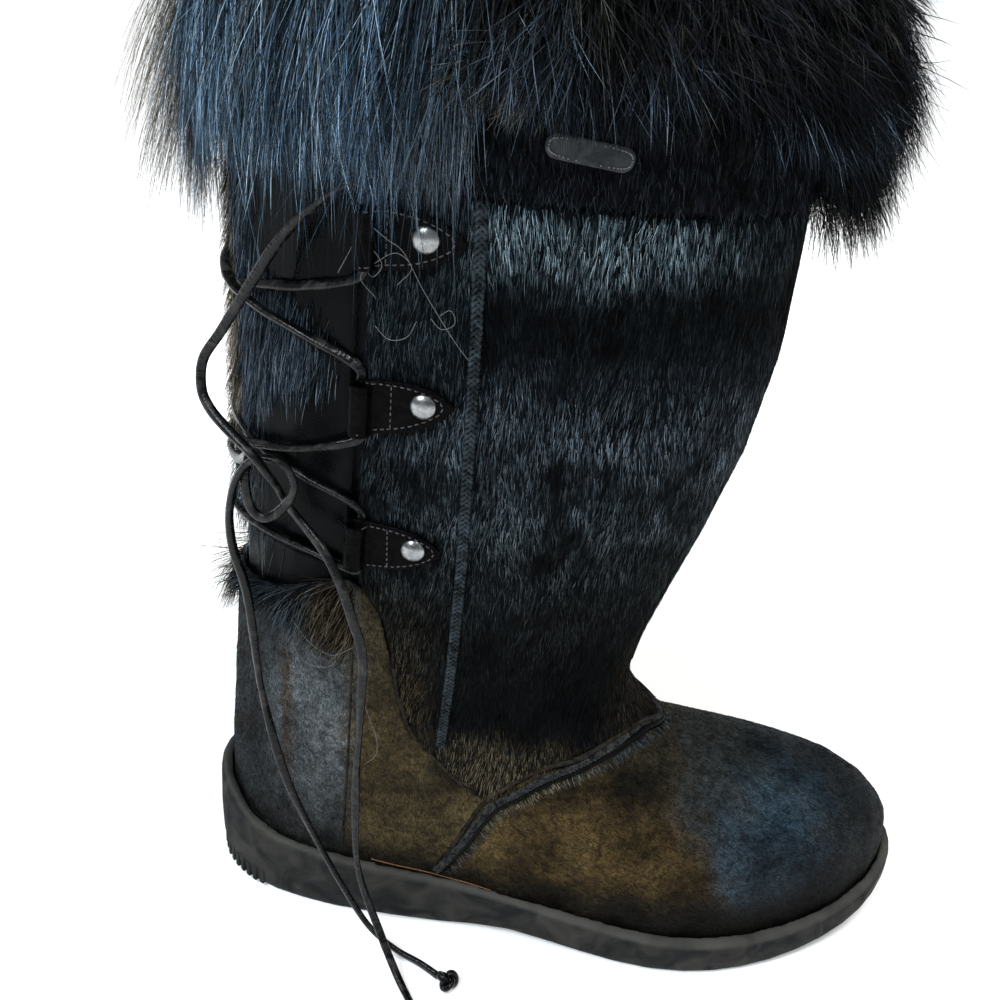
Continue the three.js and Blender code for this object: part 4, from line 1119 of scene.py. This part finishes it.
# ---------- lace tabs and rivets ----------
# Six black leather tabs, each folded round the cord, sewn across behind the fold and round its edge,
# and held by a domed satin metal rivet.
TAB_OUTLINE = [(-1.2, 0.9), (4, 0.98), (9, 0.96), (14, 0.9), (18, 0.8), (22, 0.62), (25.5, 0.36), (28, 0.1)]
TAB_RISE = {
    "near": {"top": 1.8, "middle": 4.6, "bottom": 1.6},
    "far": {"top": 2.0, "middle": 2.0, "bottom": 2.0},
}
STITCH_ACROSS = {"top": 9.6, "middle": 12.3, "bottom": 12.2}  # millimetres from the fold
STITCH_PITCH, STITCH_LONG, STITCH_INSET = 2.0, 1.45, 1.3
TAB_LONG = TAB_OUTLINE[-1][0]
RIVET_RADIUS, RIVET_BASE, RIM_REACH = 3.8, 1.0, 2.7


def stitches(name, ends, thick, finish):
    """Short raised stitches, one between each pair of ends, as a joined mesh."""
    corners, faces = [], []
    for start, end, out in ends:
        onward = end - start
        side = onward.cross(out).normalized()
        base = len(corners)
        for share, swell in ((0.0, 0.25), (0.2, 0.85), (0.5, 1.0), (0.8, 0.85), (1.0, 0.25)):
            centre = start + onward * share + out * thick * MM * (swell - 0.6)
            for k in range(6):
                angle = math.pi * k / 3
                round_it = side * math.cos(angle) + out * math.sin(angle)
                corners.append(centre + round_it * thick * swell * MM / 2)
        for ring in range(4):
            for k in range(6):
                a, b = base + ring * 6 + k, base + ring * 6 + (k + 1) % 6
                faces.append((a, b, b + 6, a + 6))
        faces.append(tuple(base + k for k in reversed(range(6))))
        faces.append(tuple(base + 24 + k for k in range(6)))
    dressed(meshed(name, corners, faces), finish)


def waxed_thread(name, dark, light):
    """Twisted waxed thread."""
    made, grain = with_grain(name, 2600.0, 4000.0, 0.0001, 0.00005)
    ramp(made, grain["Wear"], 0.35, 0.65, dark, light)
    rubbed(made, grain["Wear"], 0.4, 0.55, 0.1)
    return made


def satin_metal():
    """Satin plated metal: fine turning marks, small scratches and a dull bloom."""
    made, grain = with_grain("satin_metal", 420.0, 3000.0, 0.00012, 0.00002)
    ramp(made, grain["Wear"], 0.3, 0.7, (0.14, 0.143, 0.145), (0.32, 0.325, 0.33))
    rubbed(made, grain["Wear"], 0.22, 0.36, 0.5)
    shade(made, {"Metallic": 1.0})
    return made


tab_leather = smooth_leather(
    "tab_leather", (0.0006, 0.0006, 0.0008), (0.003, 0.0027, 0.0027), 0.22, 0.4, 260.0, 0.02,
)
thread = waxed_thread("black_thread", (0.01, 0.01, 0.011), (0.09, 0.09, 0.095))
rivet_metal = satin_metal()
for side in ("near", "far"):
    for level in ("top", "middle", "bottom"):
        node = f"tab_{side}_{level}"
        tab = skin(f"leather_{node}", node, 0.5 * MM, 5, 0.3, tab_leather)
        tab_tree = tree_of(tab)

        def on_tab(along, up):
            """The place on the tab's face at a distance from its fold and above its middle."""
            turn = EDGE_TURN[side] + DEGREES_PER_MM[side] * along
            rise = TAB_RISE[side][level] * max(0.0, along) / TAB_LONG
            place, outward = leg_frame(turn, TAB_HEIGHTS[level] + rise + up)
            hit, _ = strike(tab_tree, place + outward * 20 * MM, -outward)
            if hit is not None and (hit - place).length > 9 * MM:
                hit = None
            return (hit or place + outward * (FIT_GAP + TAB_THICK) * MM), outward

        edge = [(a, h * TAB_HALF_HIGH - STITCH_INSET) for a, h in TAB_OUTLINE if 4 <= a <= 25.5]
        round_edge = [*edge, (26.3, 0.0), *((a, -up) for a, up in reversed(edge))]
        ends = []
        for row in (round_edge, [(STITCH_ACROSS[level], up) for up in np.linspace(7.2, -7.2, 5)]):
            lengths = along_path(row)
            for mark in np.arange(0.6, lengths[-1], STITCH_PITCH):
                (start, out), (end, _) = (
                    on_tab(*(float(np.interp(m, lengths, [p[k] for p in row])) for k in (0, 1)))
                    for m in (mark, mark + STITCH_LONG)
                )
                ends.append((start, end, out))
        stitches(f"stitching_{side}_{level}", ends, 0.5, thread)

        middle = middle_of(f"rivet_{side}_{level}")
        outward = (middle - at_heel(LEG_MIDDLE, 0, (middle - heel).z / MM)).normalized()
        outward = Vector((outward.x * LEG_WIDE ** 2, outward.y * LEG_LONG ** 2, 0)).normalized()
        beside = outward.cross(Vector((0, 0, 1)))
        rims = [
            strike(tab_tree, middle + outward * 15 * MM + way * share * RIM_REACH * MM, -outward)[0]
            for way in (beside, Vector((0, 0, 1))) for share in (1, -1)
        ]
        reach = [(rim - middle).dot(outward) for rim in rims if rim is not None]
        seat = middle + outward * (sum(reach) / len(reach) - 0.1 * MM)
        spin_to = outward.to_track_quat("Z", "Y").to_matrix().to_4x4()
        bpy.ops.object.select_all(action="DESELECT")
        bpy.ops.mesh.primitive_cylinder_add(
            vertices=40, radius=RIVET_RADIUS * MM, depth=RIVET_BASE * MM, end_fill_type="NGON",
        )
        rivet = bpy.context.object
        bpy.ops.object.mode_set(mode="EDIT")
        bpy.ops.mesh.select_all(action="DESELECT")
        shape = bmesh.from_edit_mesh(rivet.data)
        for face in shape.faces:
            face.select_set(face.normal.z > 0.9)
        bmesh.update_edit_mesh(rivet.data)
        for inset, rise in ((0.35, 0.42), (0.5, 0.42), (0.65, 0.36), (0.75, 0.26), (0.75, 0.14), (0.5, 0.04)):
            bpy.ops.mesh.inset(thickness=inset * MM, depth=0)
            bpy.ops.transform.translate(value=(0, 0, rise * MM))
        bpy.ops.object.mode_set(mode="OBJECT")
        reshaped(rivet, "BEVEL", width=0.25 * MM, segments=2, limit_method="ANGLE")
        rivet.data.transform(
            Matrix.Translation(seat) @ spin_to @ Matrix.Translation((0, 0, RIVET_BASE / 2 * MM))
        )
        rivet.name = rivet.data.name = f"domed_rivet_{side}_{level}"
        rivet.data.shade_smooth()
        dressed(rivet, rivet_metal, f"rivet_{side}_{level}")

# ---------- collar band and label plate ----------
# A plain dark band of short plush closes the top of the shaft. A small blank plate with a dotted edge is
# sewn on its outer side.
band_hide = hide_skin("band_hide", (0.0015, 0.0016, 0.002), (0.008, 0.009, 0.011), 0.8)
band = skin("plush_collar_band", "collar_band", 1.1 * MM, 14, 0.3, band_hide)
roots, outward = scatter(band, 15000, 51, clear_of(tree_of(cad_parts["label_plate"])))
mean = np.array([0.006, 0.0095, 0.014]) * (1 + 0.6 * soft_noise(roots, 9 * MM, 3.3))[:, None]
nap = hanging(roots, 0.05)
hair(
    "band_plush", roots, outward, *loose(52, nap, 0.25, (3, 5.5), (0.18, 0.3), (8, 30), (-3, 10)), 2,
    speckled_with_glints(mean, 53, 0.08, 3.5), short_hair, "band_leather", 54, curl=0.15,
)

plate_finish = smooth_leather("label_plastic", (0.02, 0.022, 0.024), (0.05, 0.054, 0.057), 0.35, 0.55, 180.0)
plate = skin("blank_label_plate", "label_plate", 0.32 * MM, 4, 0.4, plate_finish)
plate_tree = tree_of(plate)
plate_edge = waxed_thread("plate_dots", (0.1, 0.1, 0.1), (0.26, 0.26, 0.26))
plate_middle = middle_of("label_plate")
tilt = Matrix.Rotation(math.radians(6), 3, "Y")
HALF_LONG, HALF_TALL, DOTS = 10.6, 2.35, 46
ring = []
for k in range(DOTS):
    c, s = math.cos(2 * math.pi * k / DOTS), math.sin(2 * math.pi * k / DOTS)
    across, up = HALF_LONG * math.copysign(abs(c) ** 0.45, c), HALF_TALL * math.copysign(abs(s) ** 0.6, s)
    ring.append(plate_middle + tilt @ Vector((across, 0, up)) * MM)
ends = []
for spot, ahead in zip(ring, ring[1:] + ring[:1]):
    hit, out, _, _ = plate_tree.ray_cast(spot + Vector((0, -0.03, 0)), Vector((0, 1, 0)))
    if hit is not None:
        onward = (ahead - spot).normalized()
        ends.append((hit - onward * 0.25 * MM, hit + onward * 0.25 * MM, out))
stitches("label_dots", ends, 0.42, plate_edge)

# ---------- fur cuff ----------
# A deep cuff of long fur on its own hide. At the back it is long, straight and blue-black and falls over
# the top tabs; in front it is coarse, stands out in locks and has pale tips, partly a painted highlight.
cuff_low = [
    (0, 298), (40, 298), (65, 300), (86, 308), (112, 309), (132, 300), (155, 286), (180, 277), (205, 282),
    (250, 292), (315, 298), (360, 298),
]
cuff_tree = tree_of(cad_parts["fur_cuff"])
CUFF_WHOLE, CUFF_THICK = 316, 4.5  # the height above which the cuff's core runs all round, and its thickness
UNDER_HEM = 9  # the hide stops this far above the fur's hem


def cuff_point(turn, z, out):
    """A place on the cuff: `out` millimetres off the leg's own line at that height."""
    axis = at_heel(LEG_MIDDLE, 0, max(z, CUFF_WHOLE))
    hit = None
    for shift in (0, 4e-5, -5e-5):
        hit = hit or cuff_tree.ray_cast(axis + Vector((shift, shift, shift)), out_at(turn))[0]
    place = hit + out_at(turn) * (CUFF_THICK + out) * MM
    place.z = z * MM
    return place


cuff_hide = hide_skin("cuff_hide", (0.002, 0.0022, 0.0025), (0.01, 0.012, 0.014), 0.8)
sections = []
for turn in range(0, 360, 5):
    low = float(table(cuff_low, np.array([turn]))[0, 0]) + UNDER_HEM
    full = 0.6 + 0.4 * float(step(np.float64(min(turn, 360 - turn)), 70, 100))
    outline = [
        (3.4, low), (5.6 * full, low + 2), (7.0 * full, low + 8), (7.8 * full, (low + 346) / 2),
        (7.4 * full, 338), (5.4 * full, 345), (1.5, 348), (-2.2, 347.2), (-4.0, 343), (-4.2, 325),
        (-4.2, 311), (3.2, 310.2),
    ]
    sections.append([cuff_point(turn, z, out) for out, z in outline])
grid = np.arange(len(sections) * len(sections[0])).reshape(len(sections), -1)
onward, beside = np.roll(grid, -1, axis=0), np.roll(grid, -1, axis=1)
faces = np.stack([grid, onward, np.roll(onward, -1, axis=1), beside], axis=-1).reshape(-1, 4).tolist()
cuff = meshed("cuff_base", [p for section in sections for p in section], faces)
only(cuff)
reshaped(cuff, "SUBSURF", levels=2, render_levels=2)
dressed(cuff, cuff_hide, "fur_cuff")


def nearest_lock(roots, every, seed):
    """For each root, the root of the lock it belongs to."""
    draw = np.random.default_rng(seed)
    guides = roots[draw.choice(len(roots), max(2, len(roots) // every), replace=False)]
    finder = kdtree.KDTree(len(guides))
    for k, p in enumerate(guides):
        finder.insert(p, k)
    finder.balance()
    return guides[[finder.find(p)[1] for p in roots]]


def signed_turn(places):
    """Degrees round the leg from the centre back: up to 180 on the lateral side, to -180 on the medial."""
    return (turn_of(places) + 180) % 360 - 180


roots, outward = scatter(cuff, 42000, 61, core=leg_core)
turn = turn_of(roots) % 360
edge_noise = 8 * soft_noise(roots, 12 * MM, 31.0)
behind = (turn < 84 + edge_noise) | (turn > 290 + edge_noise)

# The long fur at the back, painted a lighter blue on its lateral side where the light falls. One lock in it
# hangs far down and is greyer; flyaway hairs round it are painted pale, as a glow of light shining through
# them.
long_fur = hair_finish("long_fur", 0.4, 0.09)
back_roots, back_out = roots[behind], outward[behind]
locks = nearest_lock(back_roots, 22, 62)
tone, fleck = soft_noise(locks * (1, 1, 0.6), 11 * MM, 33.0), soft_noise(locks, 3 * MM, 34.0)
lock_turn, own_turn = signed_turn(locks), signed_turn(back_roots)
mean = laid(
    (0.022, 0.053, 0.088),
    (0.8 * step(tone, 0.0, 0.35), (0.055, 0.08, 0.104)),
    # Painted light: lighter blue on the back fur's lateral side.
    (0.7 * between(lock_turn, 10, 20, 30, 44), (0.047, 0.093, 0.142)),
    (0.5 * (1 - step(np.abs(lock_turn + 4), 8, 26)), (0.1, 0.1, 0.095)),
    (0.85 * (1 - step(lock_turn, -62, -40)), (0.004, 0.006, 0.008)),
    (0.7 * step(lock_turn, 66, 80), (0.012, 0.017, 0.021)),
) * np.clip(1.1 + 2 * fleck, 0.15, 3.2)[:, None]
draw = np.random.default_rng(63)
n = len(back_roots)
hem = 250 + 39 * step(np.abs(own_turn + 2), 8, 24) + 9 * soft_noise(back_roots, 9 * MM, 37.0)
longest = 46 + 14 * (np.abs(own_turn + 2) < 16)
hang = np.clip((from_heel(back_roots)[:, 2] - hem) * 1.15, 14, longest) * draw.uniform(0.78, 1.1, n)
hang *= np.where(draw.random(n) < 0.03, 1.5, 1.0)
flyaway = draw.random(n) < 0.07 + 0.3 * (np.abs(own_turn + 4) < 18)
# Painted glow: flyaway hairs at the back made pale for the light shining through them.
backlit_halo = flyaway & (np.abs(own_turn + 4) < 22)
pale = draw.uniform(0.06, 0.3, (n, 1)) * (1.0, 0.93, 0.8)
tint = np.where(backlit_halo[:, None], pale, speckled_with_glints(np.clip(mean, 0.0015, 1), 64, 0.04, 3.8, 0.45))
nap = hanging(back_roots, *(0.45 * soft_noise(locks, 16 * MM, shift) for shift in (35.0, 36.0)))
nap, wide, raised, lift, spread, fall = loose(
    draw, nap, 0.11, (0.13, 0.27), (25, 50), (6, 24), (8, 26), (-4, 8),
)
lift, fall = np.where(flyaway, raised, lift), np.where(flyaway, spread, fall)
hair(
    "cuff_fur_back", back_roots, back_out, nap, hang, wide, lift, fall, 4, tint, long_fur, "cuff_fur", 65,
    curl=0.26, tips=1.6, gather=locks, weight=0.5,
)

# The coarse fur in front, with a brown tuft at its lateral edge.
front_fur = hair_finish("front_fur", 0.4, 0.05)
front_roots, front_out = roots[~behind], outward[~behind]
locks = nearest_lock(front_roots, 30, 66)
tone, fleck = soft_noise(locks, 14 * MM, 47.0), soft_noise(locks, 4 * MM, 42.0)
lock_turn, z = turn_of(locks) % 360, from_heel(front_roots)[:, 2]
tuft = (1 - step(lock_turn + 4 * fleck, 88, 94)) * (1 - step(from_heel(locks)[:, 2], 320, 328))
mean = laid(
    laid((0.002, 0.003, 0.0042), (step(tone, 0.2, 0.42), (0.019, 0.028, 0.036))) * 0.72,
    (0.7 * step(soft_noise(locks, 12 * MM, 43.0), 0.26, 0.42), (0.014, 0.0135, 0.0085)),
    (between(lock_turn, 160, 174, 196, 230), (0.036, 0.035, 0.026)),
    (0.8 * tuft, (0.048, 0.043, 0.028)),
) * np.clip(0.7 + 1.3 * fleck, 0.08, 2.4)[:, None] * (0.9, 1.0, 1.15)
sway = np.stack([soft_noise(locks, 15 * MM, shift) for shift in (44.0, 45.0, 46.0)], axis=1)
nap = hanging(front_roots) + 1.1 * sway
nap[:, 0] += 0.5 * step(lock_turn, 110, 140) - 1.3 * tuft
draw = np.random.default_rng(67)
hem = table(
    [(84, 306), (112, 307), (132, 300), (155, 282), (180, 262), (205, 268), (250, 290), (315, 290)],
    turn_of(front_roots) % 360,
)[:, 0]
longest = 27 + 8 * step(lock_turn, 150, 170)
hang = np.clip((z - hem) * 1.3, 9, longest) * draw.uniform(0.65, 1.1, len(z)) * (1 - 0.4 * step(z, 332, 344))
nap, *others = loose(draw, nap, 0.3, (0.22, 0.4), (42, 75), (10, 45))
hair(
    "cuff_fur_front", front_roots, front_out, nap, hang, *others, 3,
    speckled_with_glints(np.clip(mean, 0.0008, 1), 68, 0.04, 4.5, 0.4), front_fur, "cuff_fur", 69, curl=0.34, tips=2.2,
    gather=locks, weight=0.35,
)

# ---------- sole and insole ----------
# A cup sole of dark grey rubber, dusty along its foot and cemented round the upper. Its upward faces
# above the tread are painted paler, as a highlight. Inside lies a felt insole.
def rubber():
    """Matt moulded rubber: dust in the low places, scuffs, and a paler upper rim that is a painted highlight.
    """
    made, grain = with_grain("sole_rubber", 70.0, 1400.0, 0.0009, 0.0003)
    tone = ramp(made, grain["Wear"], 0.38, 0.68, (0.01, 0.0108, 0.0115), (0.031, 0.03, 0.0265))
    rubbed(made, grain["Wear"], 0.85, 0.62, 0.06)
    worn = add_node(made.node_tree, "Attribute", "Fac", attribute_name="rim_highlight")
    shade(made, {"Base Color": add_node(made.node_tree, "Mix", 2, {
        "Factor": worn, 6: tone, 7: (0.056, 0.055, 0.05, 1),
    }, data_type="RGBA")})
    return made


sole = skin("rubber_cup_sole", "outsole", 1.0 * MM, 6, 0.22, rubber())
places, up = rows_of(sole.data, "co"), rows_of(sole.data, "normal")[:, 2]
# The upward faces above the tread are painted paler, as a highlight, unevenly.
worn = step(up, 0.25, 0.7) * (places[:, 2] > 13 * MM) * (0.7 + 0.5 * soft_noise(places, 12 * MM, 51.0))
worn = np.clip(worn, 0, 1).astype(np.float32)
sole.data.attributes.new("rim_highlight", "FLOAT", "POINT").data.foreach_set("value", worn)

felt = hide_skin("insole_felt", (0.02, 0.018, 0.016), (0.06, 0.055, 0.048), 0.95)
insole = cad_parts["insole"]
insole.data.materials.clear()
insole.data.materials.append(felt)

# The tread's edge shows at the back of the heel as a row of blunt lugs.
sole_tree = tree_of(sole)
LUG_SIZE, LUG_BLUNT = (3.4 * MM, 2.3 * MM, 7.5 * MM, 1), 0.6 * MM
lugs = []
for turn in np.arange(-50, 62, 5.5):
    angle = math.radians(turn)
    straight_out = Vector((-math.cos(angle), -math.sin(angle), 0))
    hit, _ = strike(sole_tree, at_heel(40, 0, 7) + straight_out * 0.2, -straight_out)
    bpy.ops.object.select_all(action="DESELECT")
    bpy.ops.mesh.primitive_cube_add(size=1.0)
    lug = bpy.context.object
    lug.data.transform(
        Matrix.Translation(hit - straight_out * 1.1 * MM - Vector((0, 0, 1.2 * MM)))
        @ Matrix.Rotation(angle, 4, "Z") @ Matrix.Diagonal(LUG_SIZE)
    )
    reshaped(lug, "BEVEL", width=LUG_BLUNT, segments=3)
    lugs.append(lug)
lug_row = joined("heel_lugs", lugs)
lug_row.data.shade_smooth()
dressed(lug_row, sole.data.materials[0])

# A line of dried cement has crept out where the rubber meets the hide.
cement = waxed_thread("dried_cement", (0.03, 0.022, 0.016), (0.26, 0.125, 0.05))
rim = [(66, 26.6), (75, 25.8), (88, 24.4), (97, 22.8), (105, 21.5), (114, 20.1)]
creep = along_skin([(x, z + 0.4) for x, z in rim], -1, 0.2)
sunk_cord("cement_line", creep, 0.28, cement)

# Loose curly hairs have caught on the top tab, the quarter and the ankle.
curls = [
    [(50, 262, 3.5), (52.5, 272, 4.6), (57.5, 277.5, 5.0), (63.5, 274, 5.0), (67, 272, 4.6), (73, 262, 3.6),
     (82, 248, 2.2), (86, 243, 1.6)],
    [(55, 268, 4), (59, 271, 4.6), (62, 267, 4.4), (59, 263, 3.4), (55.5, 266, 3.6)],
    [(60, 249, 2.2), (64, 246, 2.6), (69, 247.5, 2.6), (71.5, 252.5, 2.2)],
    [(75, 254, 2.2), (78, 251.5, 2.8), (81.5, 253.5, 2.6), (80, 257, 2.2), (77, 255, 2.2)],
    [(60, 112, 1.5), (63, 104, 2.2), (66, 94, 2.4), (66, 84, 2.0), (62, 78, 1.6)],
    [(36, 138, 3), (42, 131, 3.6), (50, 129, 3.6), (57, 134, 3)],
    [(34, 128, 2.4), (41, 121, 3), (49, 122, 2.4), (52, 128, 2.2)],
    [(66, 262, 3.4), (70, 268, 4.6), (66, 271, 4.8), (61, 268, 4.6), (57, 262, 3.4), (60, 257, 2.4)],
]
loose_hair = joined("loose_curly_hairs", [
    swept(
        f"loose_{k}", smooth_path([on_skin(x, z, -1, out) for x, z, out in curl], MM), round_section(0.11, 4),
    )
    for k, curl in enumerate(curls)
])
dressed(loose_hair, waxed_thread("loose_hair", (0.06, 0.065, 0.065), (0.15, 0.16, 0.16)))
